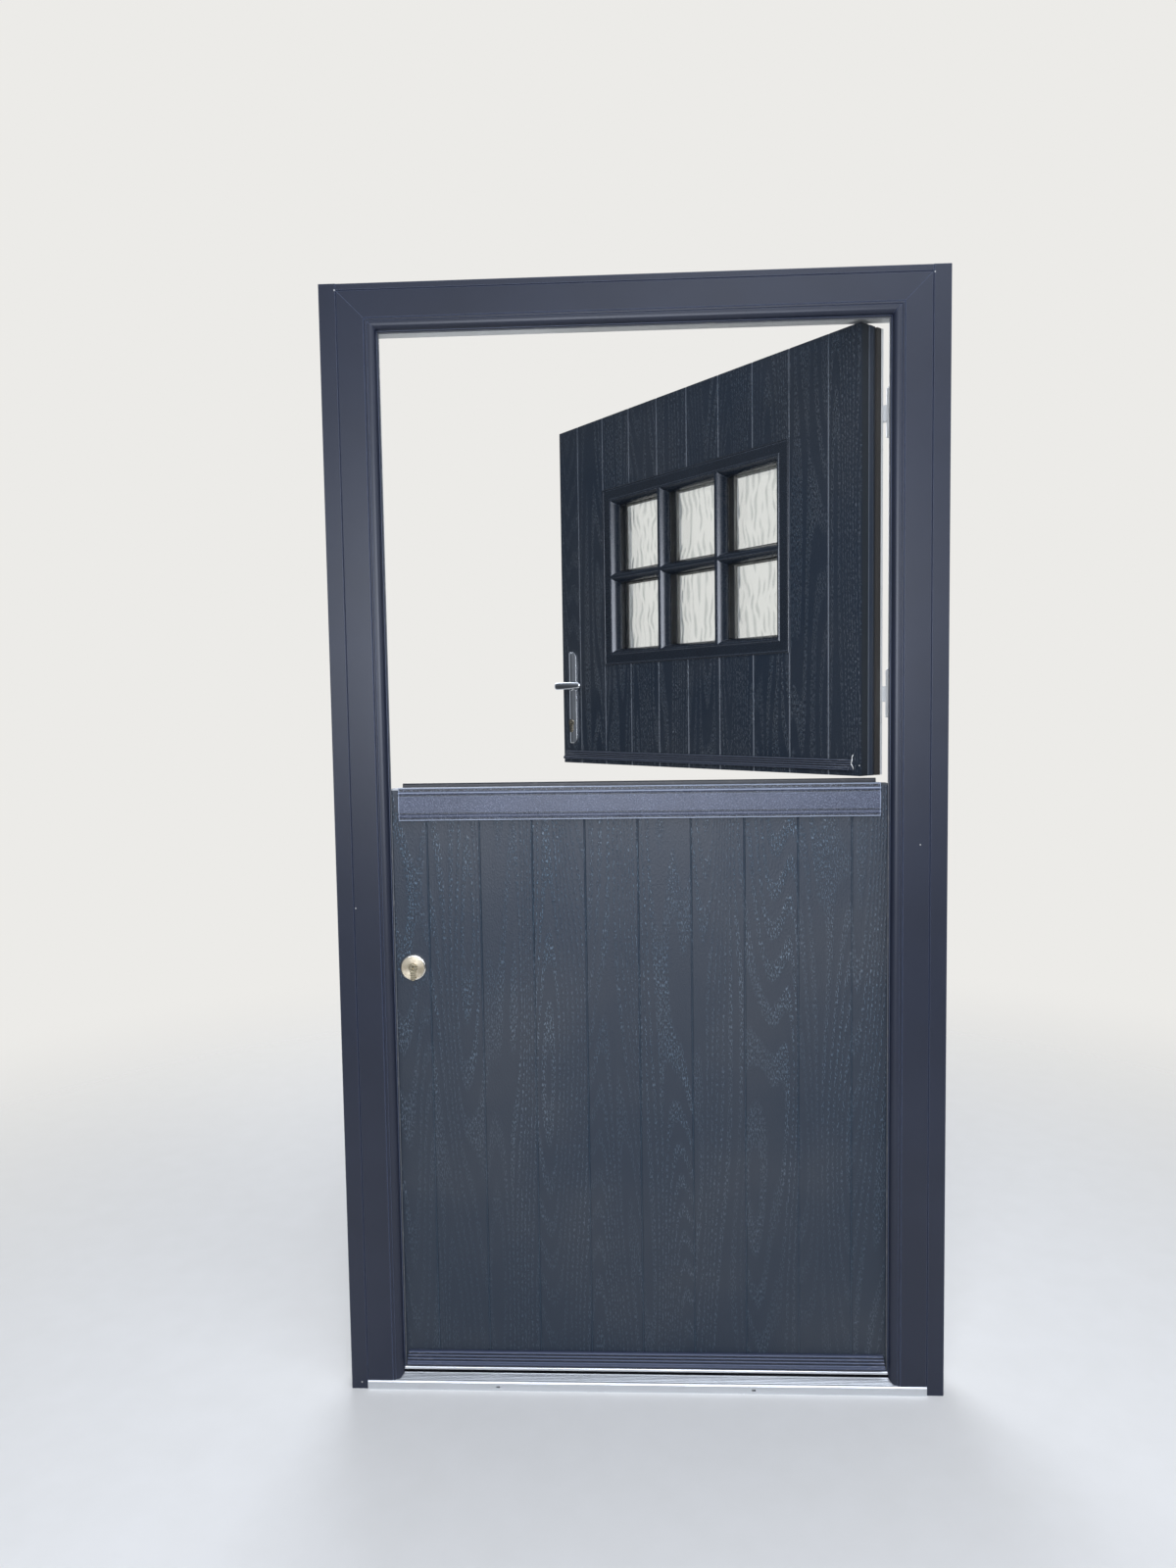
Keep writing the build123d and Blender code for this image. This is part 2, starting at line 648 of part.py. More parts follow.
def meeting_seal():
    # strip on top of the lower leaf: flat foot, neck and round bulb
    y0 = SLAB_FRONT_Y + MEETING_SEAL_BACK
    y1 = y0 + MEETING_SEAL_W
    y_mid = (y0 + y1) / 2
    bulb_r = MEETING_SEAL_BULB_R
    z_foot = BOTTOM_SLAB_Z1 + MEETING_SEAL_FOOT
    z_bulb = TOP_SLAB_Z0 - MEETING_GAP - bulb_r
    sides = Polyline(
        *on_x0(
            [
                (y_mid - bulb_r, z_bulb),
                (y_mid - bulb_r, z_foot),
                (y0, z_foot),
                (y0, BOTTOM_SLAB_Z1),
                (y1, BOTTOM_SLAB_Z1),
                (y1, z_foot),
                (y_mid + bulb_r, z_foot),
                (y_mid + bulb_r, z_bulb),
            ]
        )
    )
    crown = ThreePointArc(
        (0, y_mid + bulb_r, z_bulb), (0, y_mid, z_bulb + bulb_r), (0, y_mid - bulb_r, z_bulb)
    )
    half = HALF_SLAB - MEETING_SEAL_END
    return whole(run_x(sides.edges() + crown.edges(), -half, half))


# Screws and hinges


def countersunk(x, y, z, grow):
    # screw along Y with its head flush at y and its shank towards -Y
    head_part = Location((x, y - SCREW_HEAD_H / 2, z)) * Rotation(-90, 0, 0) * Cone(
        SCREW_SHANK_R + grow, SCREW_HEAD_R + grow, SCREW_HEAD_H
    )
    return head_part + bar_y(x, z, SCREW_SHANK_R + grow, y - SCREW_LENGTH - grow, y - SCREW_HEAD_H / 2)


def screw(x, y, z):
    return countersunk(x, y, z, 0)


def screw_hole(x, y, z):
    return countersunk(x, y, z, SCREW_CLEAR)


def hinge_bottoms():
    # lower end of each hinge: two on the upper leaf, then two on the lower leaf
    return (
        TOP_SLAB_Z1 - HINGE_FROM_END - HINGE_H,
        TOP_SLAB_Z0 + HINGE_FROM_END,
        BOTTOM_SLAB_Z1 - HINGE_FROM_END - HINGE_H,
        BOTTOM_SLAB_Z0 + HINGE_FROM_END,
    )


def hinge_screw_heights(z0):
    pitch = (HINGE_H - 2 * HINGE_SCREW_END) / (HINGE_SCREWS - 1)
    return [z0 + HINGE_SCREW_END + k * pitch for k in range(HINGE_SCREWS)]


def frame_screw_x():
    x0 = HINGE_FRAME_PLATE_X0 + HINGE_ARM_W
    return (x0 + HINGE_FRAME_PLATE_X0 + HINGE_FRAME_PLATE_W) / 2


def leaf_plate_x1():
    return HALF_SLAB - HINGE_LEAF_INSET


def leaf_screw_x():
    return leaf_plate_x1() - (HINGE_LEAF_PLATE_W + HINGE_ARM_W) / 2


def knuckle_span(z0, k):
    # k-th knuckle counted from below, with a gap to the next one
    pitch = HINGE_H / HINGE_KNUCKLES
    low = z0 + k * pitch + (HINGE_KNUCKLE_GAP / 2 if k > 0 else 0)
    high = z0 + (k + 1) * pitch - (HINGE_KNUCKLE_GAP / 2 if k < HINGE_KNUCKLES - 1 else 0)
    return low, high


def knuckles(z0, which, x_root, side, y_face):
    # barrels at the given places, each with an arm that leaves the plate at x_root
    turn = HINGE_BARREL_R * cos(radians(45))
    arm = outline_xy(
        (x_root, y_face),
        (x_root + side * HINGE_ARM_W, y_face),
        (x_root + side * HINGE_ARM_W, y_face + HINGE_PLATE_T),
        (HINGE_X + side * turn, HINGE_Y + turn),
        (HINGE_X - side * turn, HINGE_Y - turn),
    )
    found = None
    for k in which:
        low, high = knuckle_span(z0, k)
        one = run_z(arm, low, high) + bar_z(HINGE_X, HINGE_Y, HINGE_BARREL_R, low, high)
        found = one if found is None else found + one
    return found


def flag(z0, x0, x1, y_face, end):
    # hinge plate, the corners of its end away from the barrel rounded: 0 left, -1 right
    body = box(x0, x1, y_face, y_face + HINGE_PLATE_T, z0, z0 + HINGE_H)
    return fillet(body.edges().filter_by(Axis.Y).group_by(Axis.X)[end], HINGE_CORNER_R)


def hinge_frame_flag(z0):
    x0 = HINGE_FRAME_PLATE_X0
    x1 = x0 + HINGE_FRAME_PLATE_W
    body = flag(z0, x0, x1, FRAME_DEPTH, -1)
    body = body + knuckles(z0, range(0, HINGE_KNUCKLES, 2), x0, 1, FRAME_DEPTH)
    return whole(drilled_flag(body, z0, frame_screw_x(), FRAME_DEPTH))


def hinge_leaf_flag(z0):
    x1 = leaf_plate_x1()
    x0 = x1 - HINGE_LEAF_PLATE_W
    body = flag(z0, x0, x1, SLAB_BACK_Y, 0)
    body = body + knuckles(z0, range(1, HINGE_KNUCKLES, 2), x1, -1, SLAB_BACK_Y)
    return whole(drilled_flag(body, z0, leaf_screw_x(), SLAB_BACK_Y))


def drilled_flag(body, z0, screw_x, y_face):
    # bore for the pin and countersunk holes for the screws
    body = body - bar_z(HINGE_X, HINGE_Y, HINGE_PIN_R + HINGE_PIN_CLEAR, z0 - CUT, z0 + HINGE_H + CUT)
    return cut_all(body, [screw_hole(screw_x, y_face + HINGE_PLATE_T, z) for z in hinge_screw_heights(z0)])


def hinge_pin(z0):
    # loose pin with a head that rests on the top knuckle
    top = z0 + HINGE_H
    cap = bar_z(HINGE_X, HINGE_Y, HINGE_PIN_HEAD_R, top, top + HINGE_PIN_HEAD_H)
    rim = cap.edges().filter_by(GeomType.CIRCLE).sort_by(Axis.Z)[-1]
    return whole(fillet(rim, HINGE_PIN_HEAD_EDGE_R) + bar_z(HINGE_X, HINGE_Y, HINGE_PIN_R, z0, top))


# Slabs


def plank_grooves(z0, z1):
    # V-grooves between the planks, on both faces
    cutters = []
    for k in range(PLANK_GROOVES):
        x = (k - (PLANK_GROOVES - 1) / 2) * PLANK_PITCH
        for y, inward in ((SLAB_FRONT_Y, 1), (SLAB_BACK_Y, -1)):
            vee = outline_xy((x - GROOVE_W / 2, y), (x, y + inward * GROOVE_D), (x + GROOVE_W / 2, y))
            cutters.append(run_z(vee, z0, z1))
    return cutters


def slab_blank(z0, z1):
    # plank-faced slab with the shallow grooves of its edge profile
    body = box(-HALF_SLAB, HALF_SLAB, SLAB_FRONT_Y, SLAB_BACK_Y, z0, z1)
    for back, width, depth in EDGE_GROOVES:
        y0 = SLAB_FRONT_Y + back - width / 2
        body = body - box(HALF_SLAB - depth, HALF_SLAB, y0, y0 + width, z0, z1)
        body = body - box(-HALF_SLAB, depth - HALF_SLAB, y0, y0 + width, z0, z1)
    return cut_all(body, plank_grooves(z0, z1))


def euro_prism(z, y0, y1, grow=0.0):
    # keyhole-shaped cylinder outline round the plug's axis, run along Y
    drop = CYLINDER_H - CYLINDER_R - CYLINDER_SLOT_W / 2
    half = CYLINDER_SLOT_W / 2 + grow
    body = bar_y(LOCK_X, z, CYLINDER_R + grow, y0, y1)
    body = body + box(LOCK_X - half, LOCK_X + half, y0, y1, z - drop, z)
    return body + bar_y(LOCK_X, z - drop, half, y0, y1)


def case_span(cylinder_z):
    # lower and upper end of a lock's case
    if cylinder_z == CYLINDER_Z:
        return cylinder_z - CASE_UNDER_CYLINDER, LEVER_Z + CASE_OVER_LEVER
    return cylinder_z - CASE_UNDER_CYLINDER, cylinder_z + CASE_OVER_CYLINDER


def faceplate_box(cylinder_z):
    low, high = case_span(cylinder_z)
    middle = (low + high) / 2
    return box(
        -HALF_SLAB,
        FACEPLATE_T - HALF_SLAB,
        SLAB_MID_Y - FACEPLATE_W / 2,
        SLAB_MID_Y + FACEPLATE_W / 2,
        middle - FACEPLATE_H / 2,
        middle + FACEPLATE_H / 2,
    )


def case_box(cylinder_z, inset):
    # a lock's case, made smaller by inset, or larger where inset is negative
    low, high = case_span(cylinder_z)
    half = CASE_T / 2 - inset
    x0 = FACEPLATE_T - HALF_SLAB
    return box(x0, x0 + CASE_DEPTH - inset, SLAB_MID_Y - half, SLAB_MID_Y + half, low + inset, high - inset)


def lock_mortise(cylinder_z):
    return case_box(cylinder_z, -CASE_CLEAR) + faceplate_box(cylinder_z)


def leaf_screw_holes(z_hinges):
    y = SLAB_BACK_Y + HINGE_PLATE_T
    return [screw_hole(leaf_screw_x(), y, z) for z0 in z_hinges for z in hinge_screw_heights(z0)]


def coupler_screw_places():
    z0 = COUPLER_PLATE_Z0
    z1 = z0 + COUPLER_PLATE_H
    return [(COUPLER_X, z0 + COUPLER_SCREW_IN), (COUPLER_X, z1 - COUPLER_SCREW_IN)]


def coupler_keep_screw_places():
    reach = COUPLER_GUIDE_R + COUPLER_WING_SCREW
    z = COUPLER_KEEP_Z1 - COUPLER_KEEP_H / 2
    return [(COUPLER_X - reach, z), (COUPLER_X + reach, z)]


def window_opening():
    half_w = CASSETTE_W / 2 - CASSETTE_LAP
    half_h = CASSETTE_H / 2 - CASSETTE_LAP
    return box(-half_w, half_w, SLAB_FRONT_Y, SLAB_BACK_Y, CASSETTE_Z - half_h, CASSETTE_Z + half_h)


def top_slab():
    body = slab_blank(TOP_SLAB_Z0, TOP_SLAB_Z1) - window_opening() - lock_mortise(CYLINDER_Z)
    body = body - euro_prism(CYLINDER_Z, SLAB_FRONT_Y, SLAB_BACK_Y, CYLINDER_CLEAR)
    body = body - bar_y(LOCK_X, LEVER_Z, SPINDLE_HOLE_R, SLAB_FRONT_Y, SLAB_BACK_Y)
    body = cut_all(body, leaf_screw_holes(hinge_bottoms()[:2]))
    y = SLAB_BACK_Y + COUPLER_PLATE_T
    return whole(cut_all(body, [screw_hole(x, y, z) for x, z in coupler_screw_places()]))


def bottom_slab():
    body = slab_blank(BOTTOM_SLAB_Z0, BOTTOM_SLAB_Z1) - lock_mortise(BOTTOM_CYLINDER_Z)
    body = body - euro_prism(BOTTOM_CYLINDER_Z, SLAB_FRONT_Y, SLAB_BACK_Y, CYLINDER_CLEAR)
    body = cut_all(body, leaf_screw_holes(hinge_bottoms()[2:]))
    y = SLAB_BACK_Y + COUPLER_PLATE_T
    return whole(cut_all(body, [screw_hole(x, y, z) for x, z in coupler_keep_screw_places()]))


# Window. Its mouldings are drawn from the ridge, at y = 0, down to the glass at +Y.


def moulding(x_ridge, side, depth):
    # from a ridge down to its foot: step, swelling curve, step
    x_foot = x_ridge - side * MOULD_RUN
    top = (x_ridge, MOULD_STEP)
    foot = (x_foot, depth - MOULD_STEP)
    run = depth - 2 * MOULD_STEP
    length = sqrt(MOULD_RUN**2 + run**2)
    middle = (
        (x_ridge + x_foot) / 2 - side * MOULD_SWELL * run / length,
        depth / 2 - MOULD_SWELL * MOULD_RUN / length,
    )
    first = Line((x_ridge, 0), top)
    curve = ThreePointArc(top, middle, foot)
    last = Line(foot, (x_foot, depth))
    return first.edges() + curve.edges() + last.edges()


def cassette_section(half, depth):
    # right-hand side of a cassette, its outer edge at x = half
    seat = CASSETTE_PROUD
    x_ridge = half - CASSETTE_FACE_W
    x_rise = x_ridge + MOULD_RIDGE_W
    x_foot = x_ridge - MOULD_RUN
    x_wall = half - CASSETTE_LAP - CASSETTE_FIT
    x_bead = half - CASSETTE_BEAD_W
    bead = ThreePointArc((half, seat), ((half + x_bead) / 2, 0), (x_bead, CASSETTE_FIELD_D))
    field = Polyline(
        (x_bead, CASSETTE_FIELD_D),
        (x_rise + CASSETTE_FIELD_D, CASSETTE_FIELD_D),
        (x_rise, 0),
        (x_ridge, 0),
    )
    back = Polyline((x_foot, depth), (x_wall, depth), (x_wall, seat), (half, seat))
    return make_face(bead.edges() + field.edges() + moulding(x_ridge, 1, depth) + back.edges())


def cassette_side(half, length, depth):
    # side at x = +half, cut to its mitres
    reach = CASSETTE_FACE_W + MOULD_RUN
    end = length / 2
    mitres = [(half, -end), (half, end), (half - reach, end - reach), (half - reach, reach - end)]
    return run_z(cassette_section(half, depth), -end, end) & run_y(mitres, 0, depth)


def glazing_bar(length, depth):
    # bar along Z through x = 0
    half = MOULD_RIDGE_W
    foot = half + MOULD_RUN
    ridge = Line((half, 0), (-half, 0))
    base = Line((-foot, depth), (foot, depth))
    face = make_face(ridge.edges() + moulding(-half, 1, depth) + base.edges() + moulding(half, -1, depth))
    return run_z(face, -length / 2, length / 2)


def cassette(depth):
    half_w = CASSETTE_W / 2
    half_h = CASSETTE_H / 2
    side = cassette_side(half_w, CASSETTE_H, depth)
    top = Rotation(0, -90, 0) * cassette_side(half_h, CASSETTE_W, depth)
    body = side + mirror_x(side) + top + mirror(top, about=Plane.XY)
    upright = glazing_bar(CASSETTE_H - 2 * CASSETTE_FACE_W, depth)
    across = Rotation(0, -90, 0) * glazing_bar(CASSETTE_W - 2 * CASSETTE_FACE_W, depth)
    for side_sign in (-1, 1):
        body = body + Location((side_sign * BAR_PITCH / 2, 0, 0)) * upright
    return body + across


def cassette_outer():
    depth = PANE_FRONT_Y - SLAB_FRONT_Y + CASSETTE_PROUD
    return whole(Location((0, SLAB_FRONT_Y - CASSETTE_PROUD, CASSETTE_Z)) * cassette(depth))


def cassette_inner():
    depth = SLAB_BACK_Y - PANE_BACK_Y + CASSETTE_PROUD
    turned = mirror(cassette(depth), about=Plane.XZ)
    return whole(Location((0, SLAB_BACK_Y + CASSETTE_PROUD, CASSETTE_Z)) * turned)


def pane_box(y0, y1):
    half_w = CASSETTE_W / 2 - CASSETTE_LAP - PANE_EDGE
    half_h = CASSETTE_H / 2 - CASSETTE_LAP - PANE_EDGE
    return box(-half_w, half_w, y0, y1, CASSETTE_Z - half_h, CASSETTE_Z + half_h)


def glass_spacer():
    # spacer round the edge, with bars behind the glazing bars
    y0 = PANE_FRONT_Y + PANE_T
    y1 = y0 + SPACER_T
    half_w = CASSETTE_W / 2 - CASSETTE_LAP - PANE_EDGE - SPACER_W
    half_h = CASSETTE_H / 2 - CASSETTE_LAP - PANE_EDGE - SPACER_W
    bar = SPACER_BAR_W / 2
    spans_x = (
        (-half_w, -BAR_PITCH / 2 - bar),
        (bar - BAR_PITCH / 2, BAR_PITCH / 2 - bar),
        (BAR_PITCH / 2 + bar, half_w),
    )
    spans_z = ((-half_h, -bar), (bar, half_h))
    body = pane_box(y0, y1)
    for x0, x1 in spans_x:
        for z0, z1 in spans_z:
            body = body - box(x0, x1, y0, y1, CASSETTE_Z + z0, CASSETTE_Z + z1)
    return whole(body)


# Meeting rail and rain bars


def rail_section():
    # closed outline from the top edge down: edge, quirk, bead, line, flat, line, bead, quirk, edge
    y_face = SLAB_FRONT_Y - RAIL_PROUD
    y_deep = y_face + RAIL_QUIRK_D
    y_spring = y_face + RAIL_BEAD_RISE
    bands = (
        (RAIL_EDGE_H, y_spring, False),
        (RAIL_QUIRK_TOP_H, y_deep, False),
        (RAIL_BEAD_TOP_H, y_spring, True),
        (RAIL_LINE_H, y_deep, False),
        (RAIL_FLAT_H, y_face, False),
        (RAIL_LINE_H, y_deep, False),
        (RAIL_BEAD_LOW_H, y_spring, True),
        (RAIL_QUIRK_LOW_H, y_deep, False),
        (RAIL_EDGE_H, y_spring, False),
    )
    last = (0, SLAB_FRONT_Y, RAIL_TOP)
    edges = ShapeList()
    z = RAIL_TOP
    for height, y, is_bead in bands:
        start = (0, y, z)
        end = (0, y, z - height)
        edges = edges + Line(last, start).edges()
        if is_bead:
            edges = edges + ThreePointArc(start, (0, y - RAIL_BEAD_RISE, z - height / 2), end).edges()
        else:
            edges = edges + Line(start, end).edges()
        last = end
        z = z - height
    foot = (0, SLAB_FRONT_Y, z)
    return edges + Line(last, foot).edges() + Line(foot, (0, SLAB_FRONT_Y, RAIL_TOP)).edges()


def meeting_rail():
    # hollow moulded rail with a cap on each end
    end = HALF_SLAB - RAIL_END_IN
    half = end - RAIL_CAP_T
    inner_y = SLAB_FRONT_Y - RAIL_PROUD + RAIL_QUIRK_D + RAIL_WALL
    hollow = box(
        -half,
        half,
        inner_y,
        SLAB_FRONT_Y - RAIL_WALL,
        RAIL_TOP - RAIL_H + RAIL_WALL,
        RAIL_TOP - RAIL_WALL,
    )
    body = run_x(rail_section(), -half, half) - hollow
    caps = [run_x(rail_section(), x0, x0 + RAIL_CAP_T) for x0 in (-end, half)]
    return Compound(children=[whole(body), *(whole(cap) for cap in caps)])


def rain_bar(z0, height, proud):
    # sloped drip bar: square nose, ribbed slope, drip groove underneath
    y_front = SLAB_FRONT_Y - proud
    y_top = SLAB_FRONT_Y - BAR_TOP_PROUD
    z_nose = z0 + BAR_NOSE_H
    z1 = z0 + height
    points = [(SLAB_FRONT_Y, z0), (y_front, z0), (y_front, z_nose), (y_top, z1), (SLAB_FRONT_Y, z1)]
    half = HALF_SLAB - BAR_END_IN
    body = run_x(Polyline(*on_x0(points), close=True).edges(), -half, half)
    for k in range(BAR_RIBS):
        share = (k + 1) / (BAR_RIBS + 1)
        y = y_front + (y_top - y_front) * share
        z = z_nose + (z1 - z_nose) * share
        body = body - box(-half, half, y - proud, y + BAR_RIB_D, z - BAR_RIB_W / 2, z + BAR_RIB_W / 2)
    y_drip = y_front + BAR_DRIP_SET
    drip = box(-half, half, y_drip, y_drip + BAR_DRIP_W, z0, z0 + BAR_DRIP_D)
    return whole(body - drip)


# Locks


def latch_span():
    middle = LEVER_Z + LATCH_UP
    return middle - LATCH_H / 2, middle + LATCH_H / 2


def deadbolt_span(cylinder_z):
    middle = cylinder_z + DEADBOLT_UP
    return middle - DEADBOLT_H / 2, middle + DEADBOLT_H / 2


def top_keep_span():
    return deadbolt_span(CYLINDER_Z)[0], latch_span()[1]


def bolt_windows(cylinder_z):
    # lower end, upper end and thickness of each bolt in a lock
    windows = [(*deadbolt_span(cylinder_z), DEADBOLT_T)]
    if cylinder_z == CYLINDER_Z:
        windows.append((*latch_span(), LATCH_T))
    return windows


def cut_windows(body, x0, x1, cylinder_z, gap):
    for low, high, thickness in bolt_windows(cylinder_z):
        half = thickness / 2 + gap
        body = body - box(x0 - CUT, x1 + CUT, SLAB_MID_Y - half, SLAB_MID_Y + half, low - gap, high + gap)
    return body


def lock_case(cylinder_z):
    # folded steel case, open towards the faceplate
    body = case_box(cylinder_z, 0) - case_box(cylinder_z, CASE_WALL)
    body = body - euro_prism(cylinder_z, SLAB_FRONT_Y, SLAB_BACK_Y, CYLINDER_CLEAR)
    if cylinder_z == CYLINDER_Z:
        hub_hole = FOLLOWER_HUB_R + RUN_CLEAR
        body = body - bar_y(LOCK_X, LEVER_Z, hub_hole, SLAB_FRONT_Y, SLAB_BACK_Y)
    return whole(body)


def faceplate(cylinder_z):
    body = faceplate_box(cylinder_z)
    return whole(cut_windows(body, -HALF_SLAB, FACEPLATE_T - HALF_SLAB, cylinder_z, BOLT_CLEAR))


def follower():
    # hub that the spindle turns, with the lug that draws the latch
    half_case = CASE_T / 2
    half_disc = half_case - CASE_WALL - BOLT_CLEAR
    body = bar_y(LOCK_X, LEVER_Z, FOLLOWER_HUB_R, SLAB_MID_Y - half_case, SLAB_MID_Y + half_case)
    body = body + bar_y(LOCK_X, LEVER_Z, FOLLOWER_R, SLAB_MID_Y - half_disc, SLAB_MID_Y + half_disc)
    body = body + box(
        LOCK_X - FOLLOWER_LUG_W / 2,
        LOCK_X + FOLLOWER_LUG_W / 2,
        SLAB_MID_Y - half_disc,
        SLAB_MID_Y + half_disc,
        LEVER_Z,
        LEVER_Z + FOLLOWER_LUG_R,
    )
    return whole(body - spindle_bar(SLAB_FRONT_Y, SLAB_BACK_Y, RUN_CLEAR))


def latch():
    # spring latch at rest, bevelled on the side that meets the keep first
    low, high = latch_span()
    y0 = SLAB_MID_Y - LATCH_T / 2
    y1 = SLAB_MID_Y + LATCH_T / 2
    x_back = LATCH_BACK - HALF_SLAB
    face = outline_xy((-HALF_SLAB, y0), (-HALF_SLAB - LATCH_THROW, y1), (x_back, y1), (x_back, y0))
    return whole(run_z(face, low, high))


def deadbolt(cylinder_z):
    low, high = deadbolt_span(cylinder_z)
    half = DEADBOLT_T / 2
    return box(-HALF_SLAB, DEADBOLT_BACK - HALF_SLAB, SLAB_MID_Y - half, SLAB_MID_Y + half, low, high)


def keep(span, cylinder_z):
    # plate let into the lock-side jamb
    half = KEEP_W / 2
    low, high = span
    x0 = -FLOOR_X - KEEP_T
    body = box(x0, -FLOOR_X, SLAB_MID_Y - half, SLAB_MID_Y + half, low - KEEP_MARGIN, high + KEEP_MARGIN)
    return whole(cut_windows(body, x0, -FLOOR_X, cylinder_z, KEEP_GAP))


def cylinder_ends(trim_t):
    # outer and inner end of a lock cylinder behind trim of this thickness
    reach = trim_t + CYLINDER_PROUD
    return SLAB_FRONT_Y - reach, SLAB_BACK_Y + reach


def cylinder_body(cylinder_z, trim_t):
    y0, y1 = cylinder_ends(trim_t)
    return whole(euro_prism(cylinder_z, y0, y1) - bar_y(LOCK_X, cylinder_z, PLUG_R + RUN_CLEAR, y0, y1))


def cylinder_turn(cylinder_z, trim_t):
    # plug with a keyway outside and a thumbturn inside
    y0, y1 = cylinder_ends(trim_t)
    y_turn = y1 + TURN_STEM
    body = bar_y(LOCK_X, cylinder_z, PLUG_R, y0, y_turn)
    body = body - box(
        LOCK_X - KEYWAY_W / 2,
        LOCK_X + KEYWAY_W / 2,
        y0,
        y0 + KEYWAY_D,
        cylinder_z - KEYWAY_H / 2,
        cylinder_z + KEYWAY_H / 2,
    )
    plane = Plane(origin=(LOCK_X, y_turn, cylinder_z), x_dir=(1, 0, 0), z_dir=(0, 1, 0))
    return whole(body + extrude(plane * Ellipse(TURN_W / 2, TURN_H / 2), amount=TURN_D))


# Handles


def end_face(body, outward):
    # flat end of a body that faces outdoors (-1) or indoors (+1)
    faces = body.faces().filter_by(Plane.XZ).sort_by(Axis.Y)
    return faces[0] if outward < 0 else faces[-1]


def face_and_trim(outward, trim_t):
    # slab face on that side and the outer face of trim on it
    y_face = SLAB_FRONT_Y if outward < 0 else SLAB_BACK_Y
    return y_face, y_face + outward * trim_t


def plate_outline(y_face, y_crown):
    # long outline with round ends, run from the slab to past the plate's crown
    radius = PLATE_W / 2
    straight = PLATE_H / 2 - radius
    y0 = min(y_face, y_crown)
    y1 = max(y_face, y_crown)
    body = box(LOCK_X - radius, LOCK_X + radius, y0, y1, PLATE_Z - straight, PLATE_Z + straight)
    for z in (PLATE_Z - straight, PLATE_Z + straight):
        body = body + bar_y(LOCK_X, z, radius, y0, y1)
    return body


def plate_arch(y_face, y_edge, y_crown):
    # the plate's section across: thin at its long edges and convex between them
    x0 = LOCK_X - PLATE_W / 2
    x1 = LOCK_X + PLATE_W / 2
    crown = ThreePointArc((x0, y_edge), (LOCK_X, y_crown), (x1, y_edge))
    back = Polyline((x1, y_edge), (x1, y_face), (x0, y_face), (x0, y_edge))
    face = make_face(crown.edges() + back.edges())
    return run_z(face, PLATE_Z - PLATE_H / 2, PLATE_Z + PLATE_H / 2)


def plate_fall(y_face, y_edge, y_crown):
    # the plate's section along its length: level, and falling off in a curve at both ends
    z0 = PLATE_Z - PLATE_H / 2
    z1 = PLATE_Z + PLATE_H / 2
    z_bend = PLATE_END_RUN * (1 - cos(radians(45)))
    y_bend = y_edge + (y_crown - y_edge) * cos(radians(45))
    low = ThreePointArc((0, y_edge, z0), (0, y_bend, z0 + z_bend), (0, y_crown, z0 + PLATE_END_RUN))
    level = Line((0, y_crown, z0 + PLATE_END_RUN), (0, y_crown, z1 - PLATE_END_RUN))
    high = ThreePointArc((0, y_crown, z1 - PLATE_END_RUN), (0, y_bend, z1 - z_bend), (0, y_edge, z1))
    back = Polyline((0, y_edge, z1), (0, y_face, z1), (0, y_face, z0), (0, y_edge, z0))
    edges = low.edges() + level.edges() + high.edges() + back.edges()
    return run_x(edges, LOCK_X - PLATE_W / 2, LOCK_X + PLATE_W / 2)


def backplate(outward):
    # convex plate with round ends, bored for the lever's neck and the cylinder
    y_face, y_crown = face_and_trim(outward, PLATE_T)
    y_edge = y_face + outward * PLATE_EDGE_T
    body = plate_outline(y_face, y_crown) & plate_arch(y_face, y_edge, y_crown)
    body = body & plate_fall(y_face, y_edge, y_crown)
    low = min(y_face, y_crown) - CUT
    high = max(y_face, y_crown) + CUT
    body = body - bar_y(LOCK_X, LEVER_Z, LEVER_NECK_R + RUN_CLEAR, low, high)
    return whole(body - euro_prism(CYLINDER_Z, low, high, CYLINDER_CLEAR))


def escutcheon(outward):
    y_face, y_trim = face_and_trim(outward, ESCUTCHEON_T)
    y0 = min(y_face, y_trim)
    y1 = max(y_face, y_trim)
    body = bar_y(LOCK_X, BOTTOM_CYLINDER_Z, ESCUTCHEON_R, y0, y1)
    body = fillet(end_face(body, outward).edges(), ESCUTCHEON_EDGE_R)
    return whole(body - euro_prism(BOTTOM_CYLINDER_Z, y0 - CUT, y1 + CUT, CYLINDER_CLEAR))


def spindle_bar(y0, y1, grow):
    half = SPINDLE_A / 2 + grow
    return box(LOCK_X - half, LOCK_X + half, y0, y1, LEVER_Z - half, LEVER_Z + half)


def lever(outward):
    # neck in the plate's bore and a tapered grip that points at the hinge side
    y_face, y_trim = face_and_trim(outward, PLATE_T)
    y_grip = y_trim + outward * LEVER_PROJECTION
    y0 = y_grip - LEVER_GRIP_T / 2
    y1 = y_grip + LEVER_GRIP_T / 2
    root_r = LEVER_ROOT_H / 2
    tip_r = LEVER_TIP_H / 2
    tip_x = LOCK_X + LEVER_LENGTH - tip_r
    shank = [
        (LOCK_X, LEVER_Z - root_r),
        (LOCK_X, LEVER_Z + root_r),
        (tip_x, LEVER_Z + tip_r),
        (tip_x, LEVER_Z - tip_r),
    ]
    grip = run_y(shank, y0, y1) + bar_y(LOCK_X, LEVER_Z, root_r, y0, y1)
    grip = grip + bar_y(tip_x, LEVER_Z, tip_r, y0, y1)
    grip = fillet(end_face(grip, outward).edges(), LEVER_EDGE_R)
    neck = bar_y(LOCK_X, LEVER_Z, LEVER_NECK_R, y_face + outward * LEVER_CLEAR, y_grip)
    y_socket = y_trim + outward * SPINDLE_BITE
    return whole(neck + grip - spindle_bar(y_face, y_socket, RUN_CLEAR))


